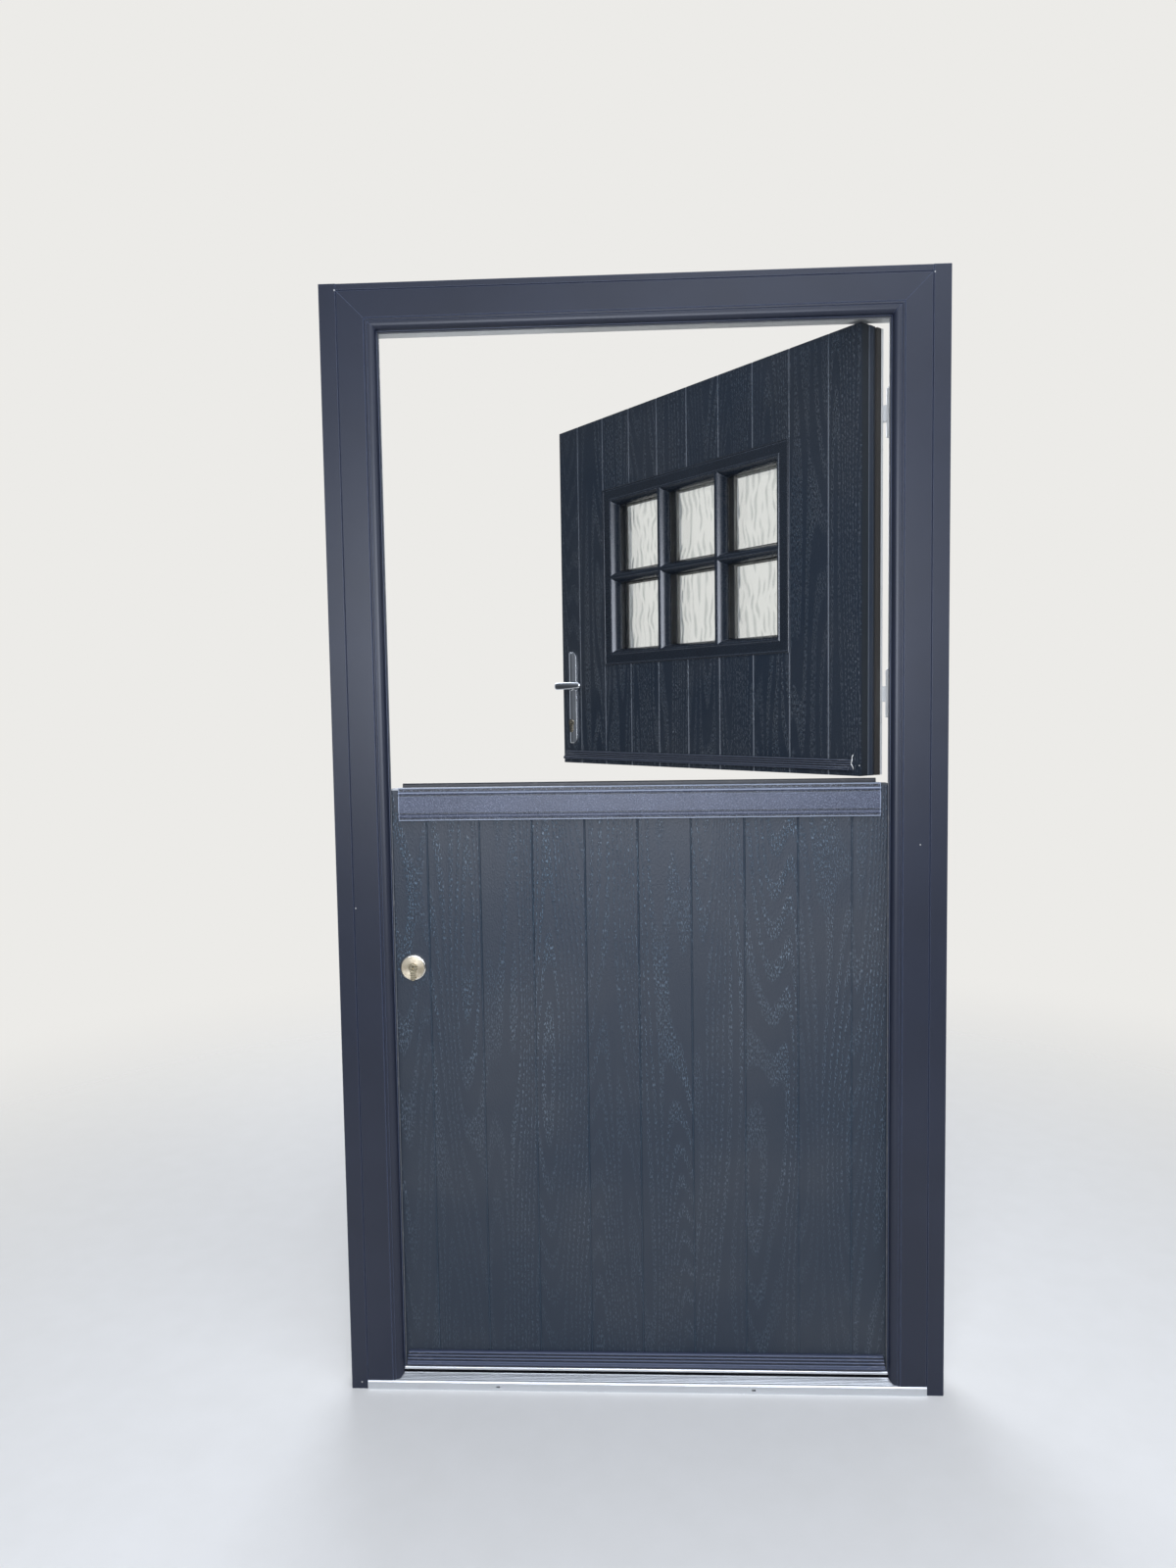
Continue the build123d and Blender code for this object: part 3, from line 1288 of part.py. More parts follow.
def spindle():
    reach = PLATE_T + SPINDLE_BITE - SPINDLE_END_GAP
    return spindle_bar(SLAB_FRONT_Y - reach, SLAB_BACK_Y + reach, 0)


# Bolt that joins the leaves


def loop(z0, z1, hole_r):
    # standing loop that a rod slides through
    body = box(COUPLER_X - COUPLER_GUIDE_R, COUPLER_X + COUPLER_GUIDE_R, SLAB_BACK_Y, COUPLER_Y, z0, z1)
    body = body + bar_z(COUPLER_X, COUPLER_Y, COUPLER_GUIDE_R, z0, z1)
    return body - bar_z(COUPLER_X, COUPLER_Y, hole_r, z0 - CUT, z1 + CUT)


def coupler_guides():
    z0 = COUPLER_PLATE_Z0
    z1 = z0 + COUPLER_PLATE_H
    half = COUPLER_PLATE_W / 2
    y1 = SLAB_BACK_Y + COUPLER_PLATE_T
    hole_r = COUPLER_ROD_R + COUPLER_ROD_CLEAR
    body = box(COUPLER_X - half, COUPLER_X + half, SLAB_BACK_Y, y1, z0, z1)
    body = body + loop(z0, z0 + COUPLER_GUIDE_H, hole_r) + loop(z1 - COUPLER_GUIDE_H, z1, hole_r)
    return whole(cut_all(body, [screw_hole(x, y1, z) for x, z in coupler_screw_places()]))


def coupler_bolt():
    # rod with its knob, drawn up
    z0 = COUPLER_PLATE_Z0
    z_knob = z0 + COUPLER_PLATE_H - COUPLER_GUIDE_H - COUPLER_KNOB_DROP
    y_knob = COUPLER_Y + COUPLER_KNOB_REACH
    body = bar_z(COUPLER_X, COUPLER_Y, COUPLER_ROD_R, z0, z0 + COUPLER_ROD_LEN)
    body = body + bar_y(COUPLER_X, z_knob, COUPLER_STEM_R, COUPLER_Y, y_knob)
    return whole(body + Location((COUPLER_X, y_knob, z_knob)) * Sphere(COUPLER_KNOB_R))


def coupler_keep():
    # staple on the lower leaf that takes the rod
    z1 = COUPLER_KEEP_Z1
    z0 = z1 - COUPLER_KEEP_H
    wing = COUPLER_GUIDE_R + COUPLER_WING_W
    y1 = SLAB_BACK_Y + COUPLER_PLATE_T
    body = box(COUPLER_X - wing, COUPLER_X + wing, SLAB_BACK_Y, y1, z0, z1)
    body = body + loop(z0, z1, COUPLER_ROD_R + COUPLER_KEEP_CLEAR)
    return whole(cut_all(body, [screw_hole(x, y1, z) for x, z in coupler_keep_screw_places()]))


# The set of pieces


def hang_open(shape):
    # turns a piece of the upper leaf from shut to how it stands
    return shape.rotate(Axis((HINGE_X, HINGE_Y, 0), (0, 0, 1)), -TOP_LEAF_OPEN)


def frame_pieces():
    parts["frame_head"] = head()
    parts["frame_jamb_lock"] = jamb_lock()
    parts["frame_jamb_hinge"] = jamb_hinge()
    parts["steel_jamb_lock"] = whole(mirror_x(steel_tube()))
    parts["steel_jamb_hinge"] = whole(cut_all(steel_tube(), hinge_screw_holes()))
    parts["extender_head"] = extender_head()
    parts["extender_lock"] = whole(mirror_x(extender_side()))
    parts["extender_hinge"] = whole(extender_side())
    parts["threshold"] = threshold()
    parts["seal_head"] = seal_head()
    parts["seal_jamb_lock"] = whole(mirror_x(seal_jamb()))
    parts["seal_jamb_hinge"] = seal_jamb()
    parts["seal_threshold"] = seal_threshold()
    parts["keep_top"] = keep(top_keep_span(), CYLINDER_Z)
    parts["keep_bottom"] = keep(deadbolt_span(BOTTOM_CYLINDER_Z), BOTTOM_CYLINDER_Z)


def hinge_pieces():
    for k, z0 in enumerate(hinge_bottoms()):
        parts[f"hinge_{k + 1}_frame_flag"] = hinge_frame_flag(z0)
        leaf_flag = hinge_leaf_flag(z0)
        parts[f"hinge_{k + 1}_leaf_flag"] = hang_open(leaf_flag) if k < 2 else leaf_flag
    parts["hinge_pins"] = Compound(children=[hinge_pin(z0) for z0 in hinge_bottoms()])


def hinge_screws(x, y_face, z_hinges):
    y = y_face + HINGE_PLATE_T
    return [screw(x, y, z) for z0 in z_hinges for z in hinge_screw_heights(z0)]


def screw_pieces():
    y = SLAB_BACK_Y + COUPLER_PLATE_T
    top = hinge_screws(leaf_screw_x(), SLAB_BACK_Y, hinge_bottoms()[:2])
    top = top + [screw(x, y, z) for x, z in coupler_screw_places()]
    low = hinge_screws(leaf_screw_x(), SLAB_BACK_Y, hinge_bottoms()[2:])
    low = low + [screw(x, y, z) for x, z in coupler_keep_screw_places()]
    frame = hinge_screws(frame_screw_x(), FRAME_DEPTH, hinge_bottoms())
    parts["frame_screws"] = Compound(children=[whole(s) for s in frame])
    parts["top_leaf_screws"] = Compound(children=[hang_open(whole(s)) for s in top])
    parts["bottom_leaf_screws"] = Compound(children=[whole(s) for s in low])


def top_leaf_pieces():
    leaf = {
        "top_slab": top_slab(),
        "top_cassette_outer": cassette_outer(),
        "top_cassette_inner": cassette_inner(),
        "top_pane_outer": pane_box(PANE_FRONT_Y, PANE_FRONT_Y + PANE_T),
        "top_pane_inner": pane_box(PANE_BACK_Y - PANE_T, PANE_BACK_Y),
        "top_glass_spacer": glass_spacer(),
        "top_rain_bar": rain_bar(TOP_BAR_Z0, TOP_BAR_H, TOP_BAR_PROUD),
        "top_lock_case": lock_case(CYLINDER_Z),
        "top_faceplate": faceplate(CYLINDER_Z),
        "top_follower": follower(),
        "top_latch": latch(),
        "top_deadbolt": deadbolt(CYLINDER_Z),
        "top_cylinder": cylinder_body(CYLINDER_Z, PLATE_T),
        "top_cylinder_turn": cylinder_turn(CYLINDER_Z, PLATE_T),
        "top_plate_outer": backplate(-1),
        "top_plate_inner": backplate(1),
        "top_lever_outer": lever(-1),
        "top_lever_inner": lever(1),
        "top_spindle": spindle(),
        "coupler_guides": coupler_guides(),
        "coupler_bolt": coupler_bolt(),
    }
    for name, shape in leaf.items():
        parts[name] = hang_open(shape)


def bottom_leaf_pieces():
    parts["bottom_slab"] = bottom_slab()
    parts["meeting_rail"] = meeting_rail()
    parts["meeting_seal"] = meeting_seal()
    parts["bottom_rain_bar"] = rain_bar(BOTTOM_BAR_Z0, BOTTOM_BAR_H, BOTTOM_BAR_PROUD)
    parts["bottom_lock_case"] = lock_case(BOTTOM_CYLINDER_Z)
    parts["bottom_faceplate"] = faceplate(BOTTOM_CYLINDER_Z)
    parts["bottom_deadbolt"] = deadbolt(BOTTOM_CYLINDER_Z)
    parts["bottom_cylinder"] = cylinder_body(BOTTOM_CYLINDER_Z, ESCUTCHEON_T)
    parts["bottom_cylinder_turn"] = cylinder_turn(BOTTOM_CYLINDER_Z, ESCUTCHEON_T)
    parts["bottom_escutcheon_outer"] = escutcheon(-1)
    parts["bottom_escutcheon_inner"] = escutcheon(1)
    parts["coupler_keep"] = coupler_keep()


def main():
    os.makedirs("parts", exist_ok=True)
    frame_pieces()
    hinge_pieces()
    screw_pieces()
    top_leaf_pieces()
    bottom_leaf_pieces()
    for name, shape in parts.items():
        export_step(shape, f"parts/{name}.step")


main()
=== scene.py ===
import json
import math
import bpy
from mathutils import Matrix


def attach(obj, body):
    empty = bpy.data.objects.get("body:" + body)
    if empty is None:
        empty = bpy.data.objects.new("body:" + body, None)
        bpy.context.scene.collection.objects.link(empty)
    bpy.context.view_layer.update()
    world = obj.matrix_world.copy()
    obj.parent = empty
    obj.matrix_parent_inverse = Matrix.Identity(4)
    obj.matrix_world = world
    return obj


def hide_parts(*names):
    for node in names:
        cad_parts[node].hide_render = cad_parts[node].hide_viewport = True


bl_info = {
    "name": "Dutch stable door",
    "version": (1, 0, 0),
    "blender": (4, 5, 0),
    "location": "3D View > Sidebar > Stable door",
    "description": "Finishes and fine pieces of a dutch stable door with its frame",
    "category": "Object",
}

import bmesh
import bpy
from mathutils import Matrix, Vector

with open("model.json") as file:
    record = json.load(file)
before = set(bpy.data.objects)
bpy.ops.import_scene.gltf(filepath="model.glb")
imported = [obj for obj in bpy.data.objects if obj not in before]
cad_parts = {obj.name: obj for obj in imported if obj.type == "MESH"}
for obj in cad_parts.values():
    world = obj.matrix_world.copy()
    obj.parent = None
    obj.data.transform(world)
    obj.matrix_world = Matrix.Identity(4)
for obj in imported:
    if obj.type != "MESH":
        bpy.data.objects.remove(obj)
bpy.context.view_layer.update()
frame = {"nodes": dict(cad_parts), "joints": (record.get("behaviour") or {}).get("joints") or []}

# Everything is in metres. The upper leaf's pieces are made as if it were shut, then hung open.
JOINTS = {joint["name"]: joint for joint in frame["joints"]}
HINGE_LINE = Vector(JOINTS["top_leaf_hinge"]["pos_m"])
OPEN_ANGLE = math.radians(-JOINTS["top_leaf_hinge"]["range_deg"][0])

# The frame: half its width, the corner of its dark lip, where the mitres start, and the depth that the
# film reaches to.
FRAME_HALF_W = 0.538
LIP_X = 0.467
LIP_Z = 2.013
FILM_END_Y = 0.0194

# Nicks and paint dots on the frame, where the door has been knocked: place and radius
NICKS = (
    ((-0.5345, 0.0, 0.947), 0.0016),
    ((0.520, 0.0, 1.058), 0.0016),
    ((-0.4665, 0.004, 0.151), 0.0028),
    ((-0.4790, 0.0, 0.164), 0.0015),
    ((-0.550, 0.0, 0.013), 0.0018),
    ((-0.540, 0.0, 2.0845), 0.0020),
    ((0.540, 0.0, 2.0825), 0.0018),
)

# The threshold: the grooves of its slope, and where painted shade darkens the groove in its upstand
GROOVES_Y = (0.0042, 0.0118)
FIRST_GROOVE_Y = 0.004
GROOVE_PITCH = 0.002
UPSTAND_SHADE_Y = (0.0133, 0.0163)
UPSTAND_SHADE_Z = (0.0262, 0.0326)

# The leaves
SLAB_FRONT_Y = 0.024
SLAB_BACK_Y = 0.090
SLAB_T = SLAB_BACK_Y - SLAB_FRONT_Y
SLAB_MID_Y = 0.057
SLAB_HALF_W = 0.476
PLANK_PITCH = 0.100
V_GROOVE_FLANK = (0.0006, 0.0020)
MOULDED_FACE_T = 0.0042
GRAIN_FADE_Z = (0.15, 1.10)  # from faintest grain to full grain, going up

# The meeting rail with its quirks and bead, and the slopes of the rain bars, from nose to top
RAIL_MID_Z = 1.1421
RAIL_HALF_H = 0.0309
RAIL_HALF_L = 0.450
RAIL_BEAD_Z = 1.1640
RAIL_QUIRK_Y = (0.0099, 0.0107)
LOWER_BAR_SLOPE = (0.053, 0.066)
UPPER_BAR_SLOPE = (1.197, 1.214)

# The sealant as it was squeezed out: points of the bead with its radius at each, and a dab beside it.
SEALANT_BEAD = (
    (0.4618, 0.0222, 1.2235, 0.0006),
    (0.4604, 0.0205, 1.2200, 0.0010),
    (0.4612, 0.0184, 1.2160, 0.0008),
    (0.4628, 0.0172, 1.2120, 0.0013),
    (0.4610, 0.0166, 1.2080, 0.0008),
    (0.4606, 0.0172, 1.2040, 0.0011),
    (0.4630, 0.0186, 1.2000, 0.0015),
    (0.4632, 0.0200, 1.1965, 0.0010),
    (0.4622, 0.0212, 1.1935, 0.0006),
)
SEALANT_DAB = (
    (0.4747, 0.0240, 1.2020, 0.0012),
    (0.4747, 0.0236, 1.2022, 0.0013),
    (0.4747, 0.0232, 1.2024, 0.0010),
    (0.4747, 0.0228, 1.2026, 0.0005),
)

# The window: the edges of its lights, three across and two up, measured from the cassette's middle
CASSETTE_Z = 1.636
LIGHTS_ACROSS = ((-0.270, -0.1065), (-0.0795, 0.0795), (0.1065, 0.270))
LIGHTS_UP = ((-0.182, -0.0135), (0.0135, 0.182))
OUTER_GASKET_Y = 0.046
INNER_GASKET_Y = 0.074
GASKET_W = 0.0022
GASKET_H = 0.0016

# The handles. Half thickness and half height of a lever are given at its neck, grip and tip.
LOCK_X = -0.432
LEVER_Z = 1.377
LEVER_LENGTH = 0.106
LEVER_ROOT_Y = 0.0157
LEVER_BEND = 0.013
LEVER_END = 0.006
LEVER_NECK = (0.0084, 0.0084)
LEVER_GRIP = (0.0058, 0.0090)
LEVER_TIP = (0.0048, 0.0066)
LEVER_WAIST = 0.0010
LEVER_BOW = 0.0016
LEVER_BELLY = 0.0006
COLLAR_Y = 0.0164
COLLAR_SECTION = (
    (0.0089, 0.0),
    (0.0089, -0.0026),
    (0.0098, -0.0032),
    (0.0109, -0.0026),
    (0.0116, -0.0010),
    (0.0118, 0.0008),
)
PLATE_Z = 1.348
PLATE_H = 0.235
PLATE_FACE_Y = 0.0195
PLATE_SCREW_INSET = 0.012
BOTTOM_CYLINDER_Z = 0.828
ESCUTCHEON_RIM_R = (0.0215, 0.0228)
TURNED_RING_PITCH = 0.0009

# Heights of the screws in the faceplates and keeps, and the face of the keeps
TOP_FACEPLATE_SCREWS_Z = (1.2475, 1.4520)
BOTTOM_FACEPLATE_SCREWS_Z = (0.7365, 0.9575)
KEEP_SCREWS_Z = (1.2985, 1.4275, 0.8415, 0.8825)
KEEP_FACE_X = -0.481

# The hinges from the top down, and the bolt that joins the leaves
HINGE_STARTS = (1.820, 1.292, 0.968, 0.135)
HINGE_SCREW_STEPS = (0.015, 0.045, 0.075)
HINGE_FACE_Y = 0.094
FRAME_SCREW_X = 0.520
LEAF_SCREW_X = 0.435
COUPLER_FACE_Y = 0.0925
COUPLER_GUIDE_SCREWS = ((-0.380, 1.224), (-0.380, 1.258))
COUPLER_KEEP_SCREWS = ((-0.398, 1.149), (-0.362, 1.149))

# Screws: radius of the head, length, and radius of the shank
PLATE_SCREW = (0.0034, 0.006, 0.0020)
FACEPLATE_SCREW = (0.0036, 0.003, 0.0020)
KEEP_SCREW = (0.0030, 0.0018, 0.0018)
HINGE_SCREW = (0.0042, 0.032, 0.0022)

# How fine the pattern of a metal is along each axis, in marks per metre: hair lines or a spangle
LINES_ALONG_X = (30.0, 1400.0, 1400.0)
LINES_ALONG_Z = (1400.0, 1400.0, 30.0)
SPANGLE = (40.0, 40.0, 40.0)

# The floor, which fades out between two distances from the door
FLOOR_R = 9.0
FLOOR_FADE = (0.9, 3.6)

# The photograph's own viewpoint: 1.31 m up and 1.97 m in front, wide angle, turned and tilted a little.
CAMERA_PLACE = (-0.00284, -1.97065, 1.31034)
CAMERA_YAW = 0.044666
CAMERA_PITCH = -0.067216
CAMERA_ROLL = 0.015124
CAMERA_SENSOR_MM = 36.0
CAMERA_LENS_PX = 1084.83
PHOTO_HEIGHT_PX = 1600.0

# Settings that every node of a kind has here, where Blender's own are others
USUAL_SETTINGS = {
    "Bevel": {"samples": 4},
    "MapRange": {"interpolation_type": "SMOOTHSTEP"},
    "Math": {"operation": "MULTIPLY"},
    "Mix": {"data_type": "RGBA"},
    "VectorMath": {"operation": "MULTIPLY"},
}


# Colours and nodes


def linear(text, alpha=1.0):
    """An sRGB hex colour as the linear numbers that Blender takes."""
    found = []
    for start in (1, 3, 5):
        value = int(text[start:start + 2], 16) / 255
        found.append(value / 12.92 if value <= 0.04045 else ((value + 0.055) / 1.055) ** 2.4)
    return (*found, alpha)


def add_node(tree, kind, *values, **named):
    """Adds a shader node with its settings and links.

    Values go in order to the inputs that its settings leave open. A name with a capital is an input, and
    any other is a setting. A node given as a value stands for its first open output.
    """
    node = tree.nodes.new("ShaderNode" + kind)
    settings = dict(USUAL_SETTINGS.get(kind, {}))
    settings.update((name, value) for name, value in named.items() if name[0].islower())
    for name, value in settings.items():
        setattr(node, name, value)
    pairs = list(zip([socket for socket in node.inputs if socket.enabled], values))
    for name, value in named.items():
        if name[0].isupper():
            pairs.append((node.inputs[name.replace("_", " ")], value))
    for socket, value in pairs:
        if isinstance(value, bpy.types.Node):
            value = next(output for output in value.outputs if output.enabled)
        if isinstance(value, bpy.types.NodeSocket):
            tree.links.new(value, socket)
        else:
            socket.default_value = value
    return node


def fresh_material(name):
    """A material with an empty tree."""
    material = bpy.data.materials.new(name)
    material.use_nodes = True
    material.node_tree.nodes.clear()
    return material, material.node_tree


def surfaced(material, **inputs):
    """The material with its shader and output, given the shader's inputs."""
    tree = material.node_tree
    shader = add_node(tree, "BsdfPrincipled", **inputs)
    add_node(tree, "OutputMaterial", shader)
    return material


def closed_place(tree, turned):
    """A point of the door in metres, with the upper leaf turned back to where it shuts."""
    place = add_node(tree, "TexCoord").outputs["Object"]
    if not turned:
        return place
    centre = (HINGE_LINE.x, HINGE_LINE.y, 0)
    return add_node(
        tree, "VectorRotate", Vector=place, Center=centre, Angle=OPEN_ANGLE, rotation_type="Z_AXIS"
    )


def raised(tree, height, distance, edge_radius=0.0006):
    """A normal with bumps of the given height in metres and softened edges."""
    soft = add_node(tree, "Bevel", edge_radius)
    return add_node(tree, "Bump", Height=height, Distance=distance, Normal=soft)


def edges_of(tree, radius):
    """1 along sharp edges and 0 on flats, from how far rounding would turn the surface."""
    flat = add_node(tree, "NewGeometry").outputs["Normal"]
    soft = add_node(tree, "Bevel", radius)
    alike = add_node(tree, "VectorMath", soft, flat, operation="DOT_PRODUCT")
    return add_node(tree, "MapRange", alike, 0.86, 0.97, 1.0, 0.0)


def spot(tree, place, centre, radius):
    """1 inside a small round spot and 0 outside it."""
    away = add_node(tree, "VectorMath", place, centre, operation="DISTANCE")
    return add_node(tree, "MapRange", away, radius * 0.6, radius, 1.0, 0.0)


def dress(nodes, material):
    """Gives solids of the frame a material."""
    for name in nodes:
        materials = frame["nodes"][name].data.materials
        materials.clear()
        materials.append(material)


# Materials


def press_moulded_skin(name, turned, skin, painted_glint_share):
    """Glass-reinforced plastic door skin, press moulded with a coarse wood grain and painted."""
    material, tree = fresh_material(name)
    place = closed_place(tree, turned)
    split = add_node(tree, "SeparateXYZ", place).outputs
    # The white side shows its grain by relief, with little colour in it.
    outward = add_node(tree, "MapRange", split[1], SLAB_MID_Y - 0.001, SLAB_MID_Y + 0.001, 1.0, 0.2)
    # Growth lines: contour lines of a field drawn out along each plank, about one each 8 mm across.
    across = add_node(tree, "Math", split[0], PLANK_PITCH, operation="DIVIDE")
    plank = add_node(tree, "Math", across, operation="FLOOR")
    own = add_node(tree, "TexWhiteNoise", plank, noise_dimensions="1D").outputs["Color"]
    shift = add_node(tree, "VectorMath", own, (9.0, 4.0, 7.0))
    long_place = add_node(tree, "VectorMath", place, (1.0, 0.0, 0.08))
    field_place = add_node(tree, "VectorMath", long_place, shift, operation="ADD")
    field = add_node(tree, "TexNoise", field_place, 9.0, 1.0, 0.30)
    turns = add_node(tree, "Math", field, 2 * math.pi * skin.grain_lines)
    wave = add_node(tree, "Math", turns, operation="SINE")
    line = add_node(tree, "Math", wave, 0.5, 0.5, operation="MULTIPLY_ADD")
    # Pores: dashes about 1.5 mm wide and 6 mm long, coarser than the real ones so that they show.
    dash_place = add_node(tree, "VectorMath", place, (540.0, 0.0, 150.0))
    fleck = add_node(tree, "TexNoise", dash_place, 1.0, 1.5, 0.6)
    dash = add_node(tree, "MapRange", fleck, 0.51, 0.62)
    gathered = add_node(tree, "MapRange", line, 0.35, 0.80)
    patch_place = add_node(tree, "VectorMath", field_place, (14.0, 14.0, 14.0))
    patch = add_node(tree, "TexNoise", patch_place, 1.0, 2.0, 0.5)
    deeper = add_node(tree, "MapRange", patch, 0.35, 0.65, 0.35, 1.0)
    # The planed edges are plain: the grain is on the two moulded faces only.
    from_middle = add_node(tree, "Math", split[1], SLAB_MID_Y, operation="SUBTRACT")
    off_middle = add_node(tree, "Math", from_middle, operation="ABSOLUTE")
    on_face = add_node(tree, "Math", off_middle, SLAB_T / 2 - MOULDED_FACE_T, operation="GREATER_THAN")
    # The grain's relief, its painted glint and its painted shade fade out towards the sill.
    grain_fade = add_node(tree, "MapRange", split[2], *GRAIN_FADE_Z, 0.30, 1.0)
    open_face = add_node(tree, "Math", on_face, grain_fade)
    deeper = add_node(tree, "Math", deeper, open_face)
    dashes = add_node(tree, "Math", dash, gathered)
    pore = add_node(tree, "Math", dashes, deeper)
    # A crackle about 3 mm wide lies over the whole face between the pores.
    crackle_place = add_node(tree, "VectorMath", place, (330.0, 330.0, 190.0))
    crackle = add_node(tree, "TexNoise", crackle_place, 1.0, 2.0, 0.6)
    crackle = add_node(tree, "Math", crackle, on_face)
    ridges = add_node(tree, "Math", line, on_face)
    body = add_node(tree, "Math", ridges, 0.25, crackle, operation="MULTIPLY_ADD")
    body = add_node(tree, "Math", body, 0.55)
    body = add_node(tree, "Math", pore, 0.95, body, operation="MULTIPLY_ADD")
    # Colour: anthracite outside, white inside, and on the edge bands read from its layers, with painted
    # shade where its grooves and back lie in shade and painted highlight where groove edges catch light.
    depth = add_node(tree, "Math", split[1], SLAB_FRONT_Y, operation="SUBTRACT")
    depth_share = add_node(tree, "Math", depth, SLAB_T, operation="DIVIDE")
    skin_and_edge_band_colour = add_node(tree, "ValToRGB", depth_share)
    painted_edge_bands = (
        (0.0, (*skin.outside, 1.0)),
        (0.075, linear("#1f252b")),
        (0.345, linear("#565d66")),
        (0.385, linear("#2a3340")),
        (0.545, linear("#4b535f")),
        (0.580, linear("#20262e")),
        (0.640, linear("#101316")),
        (0.700, linear("#3b3835")),
        (0.875, linear("#0d0e0f")),
        (0.900, (*skin.inside, 1.0)),
    )
    ramp = skin_and_edge_band_colour.color_ramp
    ramp.interpolation = "CONSTANT"
    while len(ramp.elements) < len(painted_edge_bands):
        ramp.elements.new(0.5)
    for element, (position, colour) in zip(ramp.elements, painted_edge_bands):
        element.position = position
        element.color = colour
    # Painted shade darkens the hollows between the pores, and a painted highlight makes the pores
    # themselves glint.
    between = add_node(tree, "MapRange", fleck, 0.50, 0.36)
    grained = add_node(tree, "Math", gathered, deeper)
    pore_painted_shade = add_node(tree, "Math", between, grained)
    pore_painted_shade = add_node(tree, "Math", pore_painted_shade, outward)
    pore_painted_shade = add_node(tree, "Math", pore_painted_shade, 0.40)
    colour = add_node(tree, "Mix", pore_painted_shade, skin_and_edge_band_colour, linear("#0b0f15"))
    pore_painted_glint = add_node(tree, "Math", pore, outward)
    pore_painted_glint = add_node(tree, "Math", pore_painted_glint, painted_glint_share)
    colour = add_node(tree, "Mix", pore_painted_glint, colour, linear("#8ea3b4"))
    # A painted highlight lightens the V-grooves, as if one flank caught the light, which their depth would
    # otherwise hide.
    to_groove = add_node(tree, "Math", split[0], PLANK_PITCH / 2, operation="PINGPONG")
    in_groove = add_node(tree, "MapRange", to_groove, *V_GROOVE_FLANK, 0.24, 0.0)
    colour = add_node(tree, "Mix", in_groove, colour, linear("#66737f"))
    # The paint clouds a little from place to place.
    cloud = add_node(tree, "TexNoise", place, 3.0, 3.0, 0.5)
    shade = add_node(tree, "MapRange", cloud, 0.30, 0.70, -0.12, 0.12)
    shade = add_node(tree, "Math", shade, outward, 1.0, operation="MULTIPLY_ADD")
    strength = add_node(tree, "MapRange", cloud, 0.30, 0.70, 1.20, 0.75)
    tint = add_node(tree, "HueSaturation", Saturation=strength, Value=shade, Color=colour)
    gloss = add_node(tree, "MapRange", pore, 0.0, 1.0, 0.47, 0.24)
    relief = raised(tree, body, skin.grain_depth)
    return surfaced(material, Base_Color=tint, Roughness=gloss, Specular_IOR_Level=0.53, Normal=relief)


def laminated_profile(name, skin):
    """PVC-U profile, extruded white and laminated outside with a finely grained anthracite film."""
    material, tree = fresh_material(name)
    place = closed_place(tree, False)
    split = add_node(tree, "SeparateXYZ", place).outputs
    mottle = add_node(tree, "TexNoise", place, 5.0, 4.0, 0.55)
    shade = add_node(tree, "MapRange", mottle, 0.3, 0.7, 0.90, 1.10)
    film = add_node(tree, "HueSaturation", Value=shade, Color=(*skin.film, 1.0))
    # Welded mitres show as a fine dark line from the lip's corner to the outer corner.
    from_middle = add_node(tree, "Math", split[0], operation="ABSOLUTE")
    across = add_node(tree, "Math", from_middle, LIP_X, operation="SUBTRACT")
    up = add_node(tree, "Math", split[2], LIP_Z, operation="SUBTRACT")
    apart = add_node(tree, "Math", across, up, operation="SUBTRACT")
    off_mitre = add_node(tree, "Math", apart, operation="ABSOLUTE")
    past_corner = add_node(tree, "Math", up, -0.002, operation="GREATER_THAN")
    in_frame = add_node(tree, "Math", across, FRAME_HALF_W - LIP_X, operation="LESS_THAN")
    seam = add_node(tree, "MapRange", off_mitre, 0.0005, 0.0011, 1.0, 0.0)
    seam = add_node(tree, "Math", seam, past_corner)
    seam = add_node(tree, "Math", seam, in_frame)
    seam_share = add_node(tree, "Math", seam, 0.12)
    film = add_node(tree, "Mix", seam_share, film, linear("#0c0c10"))
    for centre, radius in NICKS:
        nick = add_node(tree, "Math", spot(tree, place, centre, radius), 0.75)
        film = add_node(tree, "Mix", nick, film, linear("#b9b9b6"))
    # Painted highlight lightens the film along the edges.
    film_edge_painted_highlight = add_node(tree, "Math", edges_of(tree, 0.0016), 0.5)
    film = add_node(tree, "Mix", film_edge_painted_highlight, film, linear("#6d7894"))
    inner = add_node(tree, "Math", split[1], FILM_END_Y, operation="GREATER_THAN")
    colour = add_node(tree, "Mix", inner, film, (*skin.inside, 1.0))
    # The film's grit, with the mitres sunk in it.
    grit = add_node(tree, "TexNoise", place, 620.0, 2.0, 0.6)
    sunk = add_node(tree, "Math", seam, 0.8)
    height = add_node(tree, "Math", grit, sunk, operation="SUBTRACT")
    relief = raised(tree, height, 0.00012, 0.0010)
    return surfaced(material, Base_Color=colour, Roughness=0.38, Specular_IOR_Level=0.42, Normal=relief)


